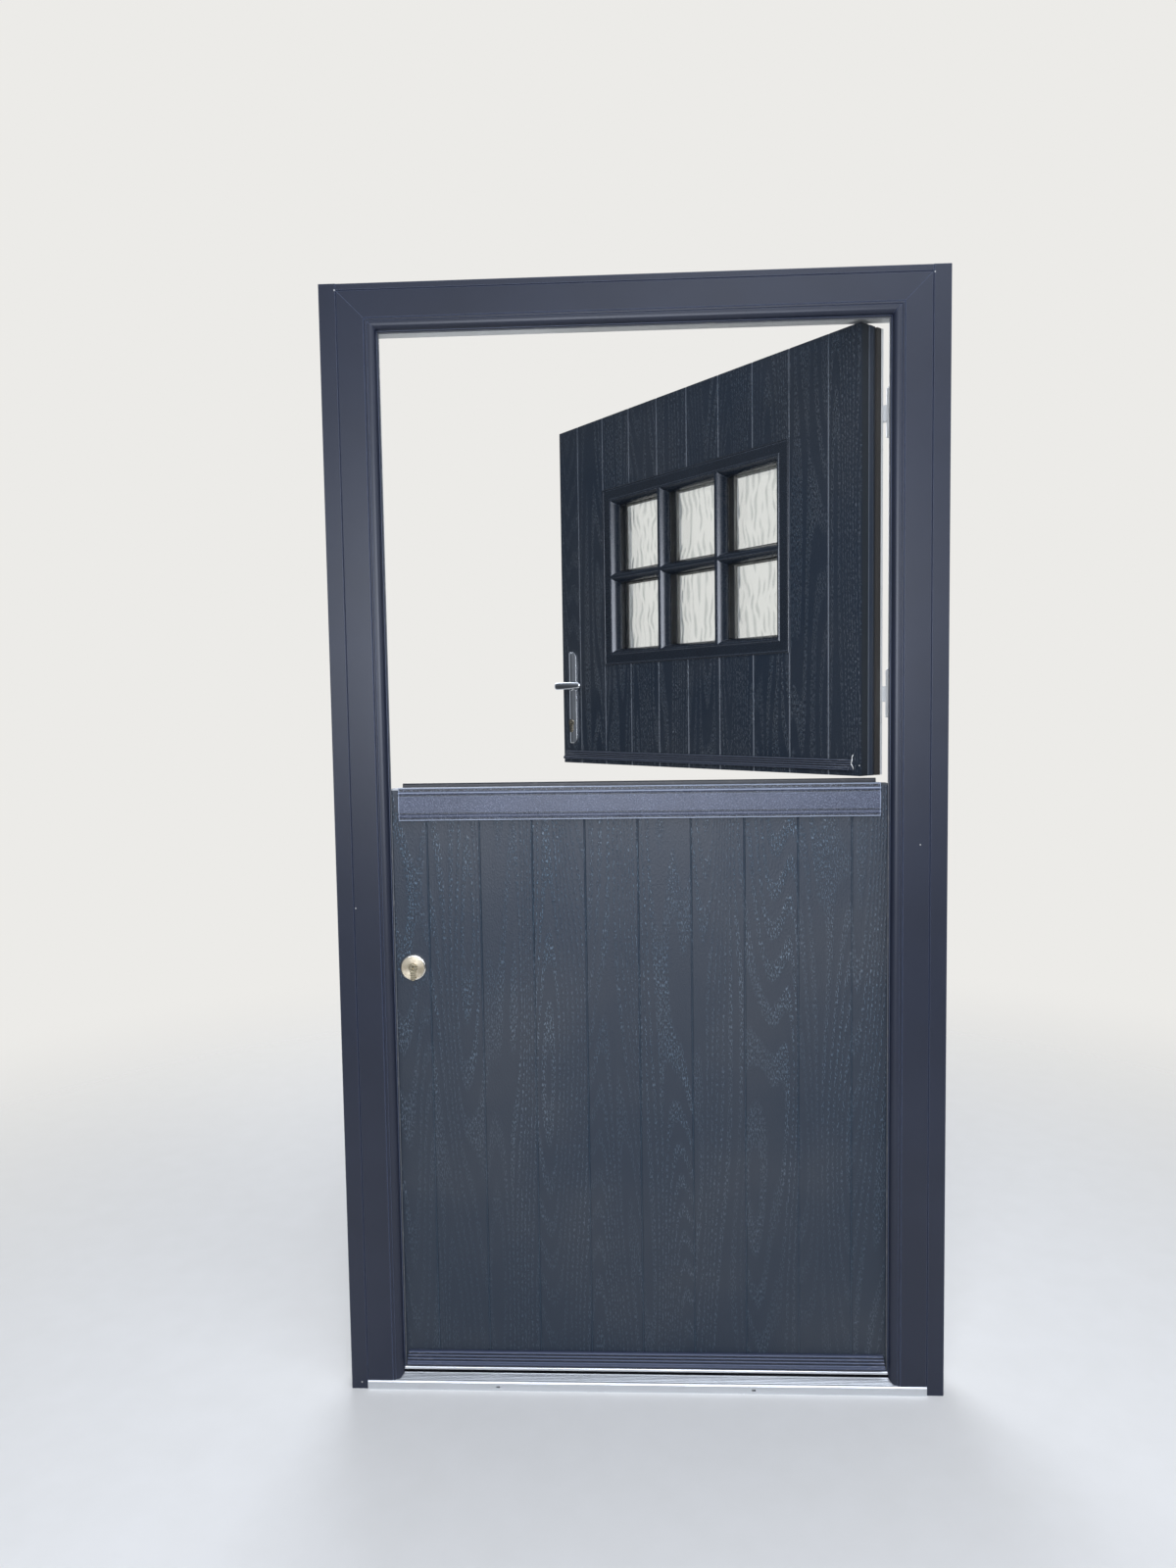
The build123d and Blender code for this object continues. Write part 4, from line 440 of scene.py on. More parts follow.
def moulded_trim(name, turned, colour, roughness, grain_depth=0.00016, with_painted_light=False):
    """ABS trim, injection moulded and colour matched, with a satin grain like fine leather."""
    material, tree = fresh_material(name)
    place = closed_place(tree, turned)
    grain = add_node(tree, "TexNoise", place, 480.0, 3.0, 0.6)
    if with_painted_light:
        # Painted shade darkens the rail's quirks.
        split = add_node(tree, "SeparateXYZ", place).outputs
        in_quirk = add_node(tree, "MapRange", split[1], *RAIL_QUIRK_Y, 0.0, 0.90)
        colour = add_node(tree, "Mix", in_quirk, colour, linear("#07090d"))
        # Painted highlight lightens its outer edges and its bead.
        up = add_node(tree, "Math", split[2], RAIL_MID_Z, operation="SUBTRACT")
        up = add_node(tree, "Math", up, operation="ABSOLUTE")
        long_edge = add_node(tree, "MapRange", up, RAIL_HALF_H - 0.0017, RAIL_HALF_H - 0.0012)
        across = add_node(tree, "Math", split[0], operation="ABSOLUTE")
        end_edge = add_node(tree, "MapRange", across, RAIL_HALF_L - 0.0018, RAIL_HALF_L - 0.0010)
        edges = add_node(tree, "Math", long_edge, end_edge, operation="MAXIMUM")
        to_bead = add_node(tree, "Math", split[2], RAIL_BEAD_Z, operation="SUBTRACT")
        to_bead = add_node(tree, "Math", to_bead, operation="ABSOLUTE")
        on_bead = add_node(tree, "MapRange", to_bead, 0.0006, 0.0016, 0.8, 0.0)
        edge_and_bead_painted_highlight = add_node(tree, "Math", edges, on_bead, operation="MAXIMUM")
        edge_and_bead_painted_highlight = add_node(tree, "Math", edge_and_bead_painted_highlight, 0.45)
        colour = add_node(tree, "Mix", edge_and_bead_painted_highlight, colour, linear("#a9b3c4"))
        # Painted sparkle: pale specks of painted highlight on its face.
        painted_sparkle = add_node(tree, "MapRange", grain, 0.52, 0.66)
        painted_sparkle = add_node(tree, "Math", painted_sparkle, 0.38)
        colour = add_node(tree, "Mix", painted_sparkle, colour, linear("#9aa4ba"))
    # Painted highlight lightens the trim along its sharp edges.
    trim_edge_painted_highlight = add_node(tree, "Math", edges_of(tree, 0.0014), 0.35)
    colour = add_node(tree, "Mix", trim_edge_painted_highlight, colour, linear("#8f9bb0"))
    mottle = add_node(tree, "TexNoise", place, 9.0, 3.0, 0.5)
    shade = add_node(tree, "MapRange", mottle, 0.3, 0.7, 0.93, 1.08)
    tint = add_node(tree, "HueSaturation", Value=shade, Color=colour)
    gloss = add_node(tree, "MapRange", grain, 0.35, 0.65, roughness - 0.07, roughness + 0.08)
    relief = raised(tree, grain, grain_depth, 0.0006)
    return surfaced(material, Base_Color=tint, Roughness=gloss, Normal=relief)


def powder_coated_bar(name, turned, colour, slope):
    """Extruded aluminium, powder coated, scuffed pale most at its ends, with painted highlight along its
    ribs and painted shade in its grooves.
    """
    material, tree = fresh_material(name)
    place = closed_place(tree, turned)
    split = add_node(tree, "SeparateXYZ", place).outputs
    # Three grooves at the quarters of the slope: painted shade inside them and painted highlight on the
    # ribs between them.
    nose_z, top_z = slope
    up = add_node(tree, "Math", split[2], nose_z, operation="SUBTRACT")
    quarter = add_node(tree, "Math", up, (top_z - nose_z) / 4, operation="DIVIDE")
    to_groove = add_node(tree, "Math", quarter, 0.5, operation="PINGPONG")
    above_nose = add_node(tree, "Math", quarter, 0.5, operation="GREATER_THAN")
    below_top = add_node(tree, "Math", quarter, 3.5, operation="LESS_THAN")
    on_slope = add_node(tree, "Math", above_nose, below_top)
    pale = add_node(tree, "MapRange", to_groove, 0.34, 0.48, 0.0, 0.35)
    colour = add_node(tree, "Mix", pale, colour, linear("#8d99b4"))
    dark = add_node(tree, "MapRange", to_groove, 0.18, 0.32, 0.85, 0.0)
    dark = add_node(tree, "Math", dark, on_slope)
    colour = add_node(tree, "Mix", dark, colour, linear("#06080c"))
    # Scuffs run along the bar, and more of them near its ends.
    scuff_place = add_node(tree, "VectorMath", place, (60.0, 900.0, 900.0))
    scuffs = add_node(tree, "TexNoise", scuff_place, 1.0, 4.0, 0.65)
    from_middle = add_node(tree, "Math", split[0], operation="ABSOLUTE")
    near_end = add_node(tree, "MapRange", from_middle, 0.35, 0.46)
    share = add_node(tree, "Math", near_end, 0.35, 0.10, operation="MULTIPLY_ADD")
    scuffed = add_node(tree, "MapRange", scuffs, 0.54, 0.70)
    scuffed = add_node(tree, "Math", scuffed, share)
    colour = add_node(tree, "Mix", scuffed, colour, linear("#a9aab0"))
    gloss = add_node(tree, "MapRange", scuffs, 0.3, 0.7, 0.28, 0.48)
    texture = add_node(tree, "TexNoise", place, 700.0, 2.0, 0.5)
    return surfaced(material, Base_Color=colour, Roughness=gloss, Normal=raised(tree, texture, 0.00010))


def plain_white(name, turned):
    """White moulded plastic, smooth with a faint orange-peel."""
    material, tree = fresh_material(name)
    place = closed_place(tree, turned)
    shade = add_node(tree, "TexNoise", place, 6.0, 3.0, 0.5)
    colour = add_node(tree, "Mix", shade, linear("#e6e6e2"), linear("#f0f0ee"))
    peel = add_node(tree, "TexNoise", place, 260.0, 1.0, 0.5)
    return surfaced(material, Base_Color=colour, Roughness=0.30, Normal=raised(tree, peel, 0.00012))


def extruded_aluminium(name):
    """Mill-finish aluminium, extruded along the threshold: fine lines one way and dirt in the hollows."""
    material, tree = fresh_material(name)
    place = closed_place(tree, False)
    line_place = add_node(tree, "VectorMath", place, (3.0, 1500.0, 1500.0))
    lines = add_node(tree, "TexNoise", line_place, 1.0, 3.0, 0.6)
    metal = add_node(tree, "Mix", lines, linear("#c0c3c6"), linear("#dbdcdd"))
    patches = add_node(tree, "TexNoise", place, 22.0, 5.0, 0.62)
    dirt = add_node(tree, "MapRange", patches, 0.52, 0.76)
    dirt = add_node(tree, "Math", dirt, 0.07)
    metal = add_node(tree, "Mix", dirt, metal, linear("#8d877c"))
    # Dust lies in the grooves of the slope.
    split = add_node(tree, "SeparateXYZ", place).outputs
    along_slope = add_node(tree, "Math", split[1], FIRST_GROOVE_Y, operation="SUBTRACT")
    from_rib = add_node(tree, "Math", along_slope, GROOVE_PITCH / 2, operation="PINGPONG")
    in_groove = add_node(tree, "MapRange", from_rib, GROOVE_PITCH * 0.2, GROOVE_PITCH * 0.3)
    past_nose = add_node(tree, "Math", split[1], GROOVES_Y[0], operation="GREATER_THAN")
    before_upstand = add_node(tree, "Math", split[1], GROOVES_Y[1], operation="LESS_THAN")
    dusty = add_node(tree, "Math", past_nose, in_groove)
    dusty = add_node(tree, "Math", dusty, before_upstand)
    dusty = add_node(tree, "Math", dusty, 0.7)
    metal = add_node(tree, "Mix", dusty, metal, linear("#3f4041"))
    # Painted shade darkens the upstand's groove.
    above = add_node(tree, "Math", split[2], UPSTAND_SHADE_Z[0], operation="GREATER_THAN")
    below = add_node(tree, "Math", split[2], UPSTAND_SHADE_Z[1], operation="LESS_THAN")
    behind = add_node(tree, "Math", split[1], UPSTAND_SHADE_Y[0], operation="GREATER_THAN")
    in_front = add_node(tree, "Math", split[1], UPSTAND_SHADE_Y[1], operation="LESS_THAN")
    inside = add_node(tree, "Math", above, below)
    inside = add_node(tree, "Math", inside, behind)
    inside = add_node(tree, "Math", inside, in_front)
    metal = add_node(tree, "Mix", inside, metal, linear("#141518"))
    gloss = add_node(tree, "MapRange", lines, 0.3, 0.7, 0.26, 0.44)
    relief = raised(tree, lines, 0.00006, 0.0004)
    return surfaced(material, Base_Color=metal, Metallic=0.85, Roughness=gloss, Normal=relief)


def fine_metal(name, turned, pale, dark, roughness, along=LINES_ALONG_X):
    """Metal with a fine pattern in its colour and gloss: an abrasive's hair lines, or zinc's spangle."""
    material, tree = fresh_material(name)
    place = closed_place(tree, turned)
    line_place = add_node(tree, "VectorMath", place, along)
    lines = add_node(tree, "TexNoise", line_place, 1.0, 3.0, 0.6)
    colour = add_node(tree, "Mix", lines, linear(dark), linear(pale))
    gloss = add_node(tree, "MapRange", lines, 0.3, 0.7, roughness - 0.07, roughness + 0.08)
    relief = raised(tree, lines, 0.00004, 0.0005)
    return surfaced(material, Base_Color=colour, Metallic=1.0, Roughness=gloss, Normal=relief)


def turned_nickel(name):
    """Brass disc turned on a lathe and satin nickel plated: rings on the face and a polished rim."""
    material, tree = fresh_material(name)
    place = closed_place(tree, False)
    split = add_node(tree, "SeparateXYZ", place).outputs
    dx = add_node(tree, "Math", split[0], LOCK_X, operation="SUBTRACT")
    dz = add_node(tree, "Math", split[2], BOTTOM_CYLINDER_Z, operation="SUBTRACT")
    square = add_node(tree, "Math", dx, dx)
    square = add_node(tree, "Math", dz, dz, square, operation="MULTIPLY_ADD")
    radius = add_node(tree, "Math", square, operation="SQRT")
    rim = add_node(tree, "MapRange", radius, *ESCUTCHEON_RIM_R)
    # The tool's rings are 0.9 mm apart, coarser than the real ones so that they show.
    turns = add_node(tree, "Math", radius, 2 * math.pi / TURNED_RING_PITCH)
    rings = add_node(tree, "Math", turns, operation="SINE")
    patches = add_node(tree, "TexNoise", place, 90.0, 4.0, 0.6)
    tarnish = add_node(tree, "MapRange", patches, 0.42, 0.68)
    tarnish = add_node(tree, "Math", tarnish, 0.5)
    colour = add_node(tree, "Mix", tarnish, linear("#cbbfa8"), linear("#a08f70"))
    colour = add_node(tree, "Mix", rim, colour, linear("#e3ded4"))
    gloss = add_node(tree, "MapRange", rim, 0.0, 1.0, 0.36, 0.14)
    relief = raised(tree, rings, 0.00003, 0.0004)
    return surfaced(material, Base_Color=colour, Metallic=1.0, Roughness=gloss, Normal=relief)


def chrome_plate(name, turned):
    """Chromium plate on a die casting, polished, with a faint ripple and finger smears."""
    material, tree = fresh_material(name)
    place = closed_place(tree, turned)
    smear = add_node(tree, "TexNoise", place, 45.0, 4.0, 0.6)
    colour = add_node(tree, "Mix", smear, linear("#c9ccd0"), linear("#dfe1e3"))
    gloss = add_node(tree, "MapRange", smear, 0.40, 0.72, 0.05, 0.17)
    ripple = add_node(tree, "TexNoise", place, 30.0, 1.0, 0.5)
    relief = raised(tree, ripple, 0.00006)
    return surfaced(material, Base_Color=colour, Metallic=1.0, Roughness=gloss, Normal=relief)


def extruded_rubber(name, turned, colour, roughness, dusty=0.25):
    """Thermoplastic rubber seal, extruded: dull, with dust along its length."""
    material, tree = fresh_material(name)
    place = closed_place(tree, turned)
    dust_place = add_node(tree, "VectorMath", place, (60.0, 400.0, 60.0))
    dust = add_node(tree, "TexNoise", dust_place, 1.0, 4.0, 0.6)
    share = add_node(tree, "MapRange", dust, 0.50, 0.75)
    share = add_node(tree, "Math", share, dusty)
    shade = add_node(tree, "Mix", share, linear(colour), linear("#a39f97"))
    relief = raised(tree, dust, 0.00010, 0.0003)
    return surfaced(material, Base_Color=shade, Roughness=roughness, Normal=relief)


def float_glass(name):
    """Clear float glass, 4 mm: a faint green and a few dust marks."""
    material, tree = fresh_material(name)
    place = closed_place(tree, True)
    patches = add_node(tree, "TexNoise", place, 30.0, 5.0, 0.65)
    dust = add_node(tree, "MapRange", patches, 0.55, 0.85, 0.0, 0.05)
    tint = linear("#f8faf9")
    return surfaced(material, Base_Color=tint, Roughness=dust, IOR=1.52, Transmission_Weight=1.0)


def streaked_glass(name, glass):
    """Patterned glass, rolled hot against an engraved cylinder: long upright ripples that wander."""
    material, tree = fresh_material(name)
    place = closed_place(tree, True)
    split = add_node(tree, "SeparateXYZ", place).outputs
    wander_place = add_node(tree, "VectorMath", place, (10.0, 0.0, 14.0))
    wander = add_node(tree, "TexNoise", wander_place, 1.0, 1.0, 0.5)
    offset = add_node(tree, "Math", wander, glass.streak_pitch * 3.2)
    shifted = add_node(tree, "Math", split[0], offset, operation="ADD")
    turns = add_node(tree, "Math", shifted, 2 * math.pi / glass.streak_pitch)
    wave = add_node(tree, "Math", turns, operation="SINE")
    ripple = add_node(tree, "Math", wave, 0.5, 0.5, operation="MULTIPLY_ADD")
    break_place = add_node(tree, "VectorMath", place, (70.0, 0.0, 16.0))
    breaks = add_node(tree, "TexNoise", break_place, 1.0, 0.0, 0.5)
    broken = add_node(tree, "MapRange", breaks, 0.3, 0.7)
    height = add_node(tree, "Math", ripple, broken)
    # The thicker glass of each ripple is a little darker.
    thick = add_node(tree, "MapRange", height, 0.15, 0.75, 0.0, 0.5)
    tint = add_node(tree, "Mix", thick, (*glass.tint, 1.0), linear("#b3b9ba"))
    relief = add_node(tree, "Bump", Height=height, Distance=0.0006)
    return surfaced(
        material, Base_Color=tint, Roughness=0.03, IOR=1.52, Transmission_Weight=1.0, Normal=relief
    )


def silicone_bead(name):
    """White silicone sealant, squeezed from a nozzle: soft sheen and a lumpy skin."""
    material, tree = fresh_material(name)
    place = closed_place(tree, False)
    patches = add_node(tree, "TexNoise", place, 260.0, 4.0, 0.6)
    grime = add_node(tree, "MapRange", patches, 0.45, 0.75)
    colour = add_node(tree, "Mix", grime, linear("#e9e8e4"), linear("#bcb8ae"))
    lumps = add_node(tree, "TexNoise", place, 500.0, 2.0, 0.5)
    relief = raised(tree, lumps, 0.0002, 0.0002)
    return surfaced(material, Base_Color=colour, Roughness=0.35, Normal=relief)


# Mesh making


def finished_piece(name, bm, material, smooth=True):
    """A mesh object of the scene from a bmesh, with its faces turned outwards."""
    bmesh.ops.recalc_face_normals(bm, faces=bm.faces)
    mesh = bpy.data.meshes.new(name)
    bm.to_mesh(mesh)
    bm.free()
    mesh.materials.append(material)
    for polygon in mesh.polygons:
        polygon.use_smooth = smooth
    piece = bpy.data.objects.new(name, mesh)
    bpy.context.scene.collection.objects.link(piece)
    return piece


def hang_open(piece):
    """Turns a piece made on the shut upper leaf to where that leaf stands."""
    to_line = Matrix.Translation((HINGE_LINE.x, HINGE_LINE.y, 0))
    turn = to_line @ Matrix.Rotation(-OPEN_ANGLE, 4, "Z") @ to_line.inverted()
    piece.data.transform(turn)


def placed(piece, body, turned=False):
    """Gives a piece the body it moves with, hung open first where it is on the upper leaf."""
    if turned:
        hang_open(piece)
    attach(piece, body)


def mirrored_inward(bm):
    """Moves a piece of the outer side to the same place on the inner side of the leaf."""
    for vert in bm.verts:
        vert.co.y = 2 * SLAB_MID_Y - vert.co.y


def between(first, last, share):
    """The number at a share of the way from the first to the last."""
    return first + (last - first) * share


def wall_between(bm, first, second):
    """Faces between two closed rings with the same number of points."""
    for k in range(len(first)):
        n = (k + 1) % len(first)
        bm.faces.new((first[k], first[n], second[n], second[k]))


def skin_rings(bm, rings):
    """A closed skin over rings that follow each other, and over both ends."""
    made = [[bm.verts.new(point) for point in ring] for ring in rings]
    for low, high in zip(made, made[1:]):
        wall_between(bm, low, high)
    bm.faces.new(list(reversed(made[0])))
    bm.faces.new(made[-1])


def closed_run(bm, sections):
    """A skin over sections that follow each other round to the first."""
    made = [[bm.verts.new(point) for point in section] for section in sections]
    for section, after in zip(made, made[1:] + made[:1]):
        wall_between(bm, section, after)


def oval_ring(centre, side, up, half_side, half_up, power, count=28):
    """A ring between an ellipse (power 2) and a rounded rectangle (above 2)."""
    ring = []
    for k in range(count):
        angle = 2 * math.pi * k / count
        c, s = math.cos(angle), math.sin(angle)
        a = math.copysign(abs(c) ** (2 / power), c) * half_side
        b = math.copysign(abs(s) ** (2 / power), s) * half_up
        ring.append(centre + side * a + up * b)
    return ring


def lever_rings(handles):
    """Rings along a lever from its neck to its tip."""
    grip_y = -handles.reach
    bend_y = grip_y + LEVER_BEND
    grip_x0 = LOCK_X + LEVER_BEND
    grip_x1 = LOCK_X + LEVER_LENGTH - LEVER_END
    rings = []

    def ring(x, y, side_x, side_y, half_thick, half_high, power):
        centre = Vector((x, y, LEVER_Z))
        side = Vector((side_x, side_y, 0))
        rings.append(oval_ring(centre, side, Vector((0, 0, 1)), half_thick, half_high, power))

    # The neck, a little waisted
    for k in range(7):
        share = k / 6
        radius = LEVER_NECK[0] - LEVER_WAIST * math.sin(math.pi * share)
        ring(LOCK_X, between(LEVER_ROOT_Y, bend_y, share), 1, 0, radius, radius, 2.0)
    # The bend, where the round neck turns into the flatter grip
    for k in range(1, 9):
        share = k / 8
        angle = math.pi / 2 * share
        c, s = math.cos(angle), math.sin(angle)
        thick = between(LEVER_NECK[0], LEVER_GRIP[0], share)
        high = between(LEVER_NECK[1], LEVER_GRIP[1], share)
        ring(grip_x0 - LEVER_BEND * c, bend_y - LEVER_BEND * s, c, s, thick, high, 2.0 + 0.5 * share)
    # The grip, bowed outwards and tapering
    for k in range(1, 15):
        share = k / 14
        swell = math.sin(math.pi * share)
        thick = between(LEVER_GRIP[0], LEVER_TIP[0], share)
        high = between(LEVER_GRIP[1], LEVER_TIP[1], share) + LEVER_BELLY * swell
        ring(between(grip_x0, grip_x1, share), grip_y - LEVER_BOW * swell, 0, 1, thick, high, 2.5)
    # The rounded tip
    for k in range(1, 8):
        angle = math.pi / 2 * k / 8
        shrink = math.cos(angle)
        x = grip_x1 + LEVER_END * math.sin(angle)
        ring(x, grip_y, 0, 1, LEVER_TIP[0] * shrink, LEVER_TIP[1] * shrink, 2.4)
    return rings


def cross_outline(arm, half):
    """The twelve points of a cross."""
    corner = []
    for sx, sz in ((1, 1), (-1, 1), (-1, -1), (1, -1)):
        pair = [(arm * sx, half * sz), (half * sx, half * sz), (half * sx, arm * sz)]
        corner.extend(pair if sx == sz else reversed(pair))
    return corner


def cross_screw(bm, origin, out, head_r, length, shank_r):
    """A countersunk screw with a cross recess, its head flush at the origin and facing out."""
    out = Vector(out)
    side = Vector((0, 0, 1)).cross(out).normalized()
    up = out.cross(side)
    origin = Vector(origin)

    def ring(outline, depth):
        return [bm.verts.new(origin + side * a + up * b - out * depth) for a, b in outline]

    count = 24
    angles = [2 * math.pi * k / count for k in range(count)]
    rim = [(head_r * math.cos(angle), head_r * math.sin(angle)) for angle in angles]
    shank = [(a * (shank_r / head_r), b * (shank_r / head_r)) for a, b in rim]
    cross = cross_outline(head_r * 0.62, head_r * 0.15)
    head = ring(rim, 0)
    mouth = ring(cross, 0)
    edges = []
    for loop in (head, mouth):
        for first, second in zip(loop, loop[1:] + loop[:1]):
            edges.append(bm.edges.new((first, second)))
    bmesh.ops.triangle_fill(bm, edges=edges, use_beauty=True, use_dissolve=False)
    # The recess narrows to its floor.
    floor = ring([(a * 0.55, b * 0.8) for a, b in cross], head_r * 0.42)
    wall_between(bm, mouth, floor)
    bm.faces.new(floor)
    # The head tapers to the shank, which ends flat.
    neck = ring(shank, head_r * 0.57)
    foot = ring(shank, length)
    wall_between(bm, head, neck)
    wall_between(bm, neck, foot)
    bm.faces.new(foot)


def screws_piece(name, places, out, sizes, material):
    """Several screws as one piece, given by the middles of their heads and the way they all face."""
    bm = bmesh.new()
    for origin in places:
        cross_screw(bm, origin, out, *sizes)
    return finished_piece(name, bm, material, smooth=False)


def strip_frame(bm, across, up, y, height):
    """A mitred strip round a rectangle, rounded over like a wedge gasket."""
    section = ((0.0, 0.0), (0.0, 0.55), (0.25, 0.90), (0.60, 1.0), (1.0, 0.55), (1.0, 0.0))
    x0, x1 = across
    z0, z1 = up
    corners = ((x0, z0, 1, 1), (x1, z0, -1, 1), (x1, z1, -1, -1), (x0, z1, 1, -1))
    mitres = []
    for x, z, sx, sz in corners:
        mitres.append([(x + sx * a * GASKET_W, y + b * height, z + sz * a * GASKET_W) for a, b in section])
    closed_run(bm, mitres)


def bead_along(bm, stations):
    """A soft bead along stations, each a point and the bead's radius there."""
    points = [Vector(station[:3]) for station in stations]
    rings = []
    for k, station in enumerate(stations):
        radius = station[3]
        before = points[max(k - 1, 0)]
        after = points[min(k + 1, len(points) - 1)]
        ahead = (after - before).normalized()
        side = ahead.cross(Vector((0.3, 1, 0.2))).normalized()
        rings.append(oval_ring(points[k], side, ahead.cross(side), radius, radius * 0.8, 2.0, 12))
    skin_rings(bm, rings)


# Settings that a user would change


class StableDoorSkin(bpy.types.PropertyGroup):
    outside: bpy.props.FloatVectorProperty(
        name="Outside", description="Painted skin of both leaves", subtype="COLOR", size=3,
        default=linear("#1a2430")[:3],
    )
    inside: bpy.props.FloatVectorProperty(
        name="Inside", description="Inner skin and inner side of the frame", subtype="COLOR", size=3,
        default=linear("#e4e4e1")[:3],
    )
    film: bpy.props.FloatVectorProperty(
        name="Frame film", description="Film on the outside of the frame", subtype="COLOR", size=3,
        default=linear("#1b202e")[:3],
    )
    trim: bpy.props.FloatVectorProperty(
        name="Trim", description="Meeting rail", subtype="COLOR", size=3, default=linear("#343a4c")[:3]
    )
    surround: bpy.props.FloatVectorProperty(
        name="Window surround", description="Outer mouldings round the window", subtype="COLOR", size=3,
        default=linear("#1a212a")[:3],
    )
    grain_depth: bpy.props.FloatProperty(
        name="Grain depth", description="Depth of the moulded wood grain", unit="LENGTH", default=0.0009,
        min=0.0, max=0.003, precision=4,
    )
    grain_lines: bpy.props.FloatProperty(
        name="Grain lines", description="Growth lines between the palest and darkest part of a plank",
        default=30.0, min=4.0, max=80.0,
    )


class StableDoorGlass(bpy.types.PropertyGroup):
    tint: bpy.props.FloatVectorProperty(
        name="Tint", description="Colour of the patterned pane", subtype="COLOR", size=3,
        default=linear("#f6f7f7")[:3],
    )
    streak_pitch: bpy.props.FloatProperty(
        name="Streak pitch", description="Distance between two ripples of the patterned pane",
        unit="LENGTH", default=0.016, min=0.002, max=0.05, precision=4,
    )


class StableDoorHandles(bpy.types.PropertyGroup):
    reach: bpy.props.FloatProperty(
        name="Reach", description="Outside face of the frame to the middle of the lever's grip",
        unit="LENGTH", default=0.034, min=0.02, max=0.06, precision=4,
    )


class StableDoorStage(bpy.types.PropertyGroup):
    floor: bpy.props.FloatVectorProperty(
        name="Floor", description="Colour of the floor", subtype="COLOR", size=3,
        default=linear("#e9e7e3")[:3],
    )
    key_power: bpy.props.FloatProperty(
        name="Key light", description="Power of the main light", unit="POWER", default=110.0,
        min=0.0, max=1000.0,
    )


# Operators


class DOOR_OT_leaf_skins(bpy.types.Operator):
    """Puts the moulded skins on both leaves"""

    bl_idname = "stable_door.leaf_skins"
    bl_label = "Leaf skins"

    def execute(self, context):
        skin = context.scene.stable_door_skin
        # The lower leaf gets more painted glint than the upper one, as a lit and a shaded copy of one
        # skin.
        dress(["bottom_slab"], press_moulded_skin("painted_grp_lower_leaf", False, skin, 0.42))
        dress(["top_slab"], press_moulded_skin("painted_grp_upper_leaf", True, skin, 0.14))
        return {"FINISHED"}


class DOOR_OT_outer_frame(bpy.types.Operator):
    """Finishes the frame, its extension profiles, threshold and seals"""

    bl_idname = "stable_door.outer_frame"
    bl_label = "Frame"

    def execute(self, context):
        skin = context.scene.stable_door_skin
        profile = laminated_profile("laminated_pvcu", skin)
        dress(["frame_head", "frame_jamb_lock", "frame_jamb_hinge"], profile)
        dress(["extender_head", "extender_lock", "extender_hinge"], profile)
        zinc = fine_metal("galvanised_steel_sheet", False, "#c0c4c6", "#8f9598", 0.42, SPANGLE)
        dress(["steel_jamb_lock", "steel_jamb_hinge"], zinc)
        dress(["threshold"], extruded_aluminium("extruded_aluminium_threshold"))
        pale = extruded_rubber("grey_rubber", False, "#4b4e53", 0.55)
        dress(["seal_head", "seal_jamb_lock", "seal_jamb_hinge", "seal_threshold"], pale)
        return {"FINISHED"}


class DOOR_OT_window(bpy.types.Operator):
    """Finishes the window and adds the gaskets round its six lights"""

    bl_idname = "stable_door.window"
    bl_label = "Window"

    def execute(self, context):
        scene = context.scene
        surround = (*scene.stable_door_skin.surround, 1.0)
        outer = moulded_trim("moulded_abs_window_outer", True, surround, 0.26, 0.00008)
        dress(["top_cassette_outer"], outer)
        dress(["top_cassette_inner"], plain_white("moulded_abs_window_inner", True))
        dress(["top_pane_outer"], float_glass("float_glass"))
        dress(["top_pane_inner"], streaked_glass("patterned_glass", scene.stable_door_glass))
        dress(["top_glass_spacer"], moulded_trim("black_spacer_bar", True, linear("#0b0b0c"), 0.55))
        black = extruded_rubber("black_glazing_gasket", True, "#121314", 0.5)
        grey = extruded_rubber("pale_glazing_gasket", True, "#9d9c98", 0.5)
        self.gaskets("window_gaskets_outer", OUTER_GASKET_Y, -GASKET_H, black, "black_seal")
        self.gaskets("window_gaskets_inner", INNER_GASKET_Y, GASKET_H, grey, "light_grey_seal")
        return {"FINISHED"}

    def gaskets(self, name, y, height, material, slot):
        bm = bmesh.new()
        for across in LIGHTS_ACROSS:
            for low, high in LIGHTS_UP:
                strip_frame(bm, across, (CASSETTE_Z + low, CASSETTE_Z + high), y, height)
        placed(finished_piece(name, bm, material), "top_leaf", turned=True)


class DOOR_OT_rail_and_bars(bpy.types.Operator):
    """Finishes the meeting rail, its seal and both rain bars, and adds the sealant at the upper one"""

    bl_idname = "stable_door.rail_and_bars"
    bl_label = "Meeting rail and rain bars"

    def execute(self, context):
        trim = (*context.scene.stable_door_skin.trim, 1.0)
        dress(["meeting_rail"], moulded_trim("moulded_abs_rail", False, trim, 0.33, 0.00040, with_painted_light=True))
        dress(["meeting_seal"], extruded_rubber("black_rubber", False, "#0e1016", 0.42, 0.06))
        # The lower bar is painted lighter than the upper one: lit and shaded copies of one powder coat.
        lower = powder_coated_bar("powder_coat_lower_bar", False, linear("#30374b"), LOWER_BAR_SLOPE)
        dress(["bottom_rain_bar"], lower)
        upper = powder_coated_bar("powder_coat_upper_bar", True, linear("#20252f"), UPPER_BAR_SLOPE)
        dress(["top_rain_bar"], upper)
        self.sealant()
        return {"FINISHED"}

    def sealant(self):
        bm = bmesh.new()
        bead_along(bm, SEALANT_BEAD)
        bead_along(bm, SEALANT_DAB)
        bead = finished_piece("sealant_bead", bm, silicone_bead("white_silicone"))
        rounding = bead.modifiers.new("smooth", "SUBSURF")
        rounding.levels = 1
        rounding.render_levels = 1
        placed(bead, "top_leaf", turned=True)


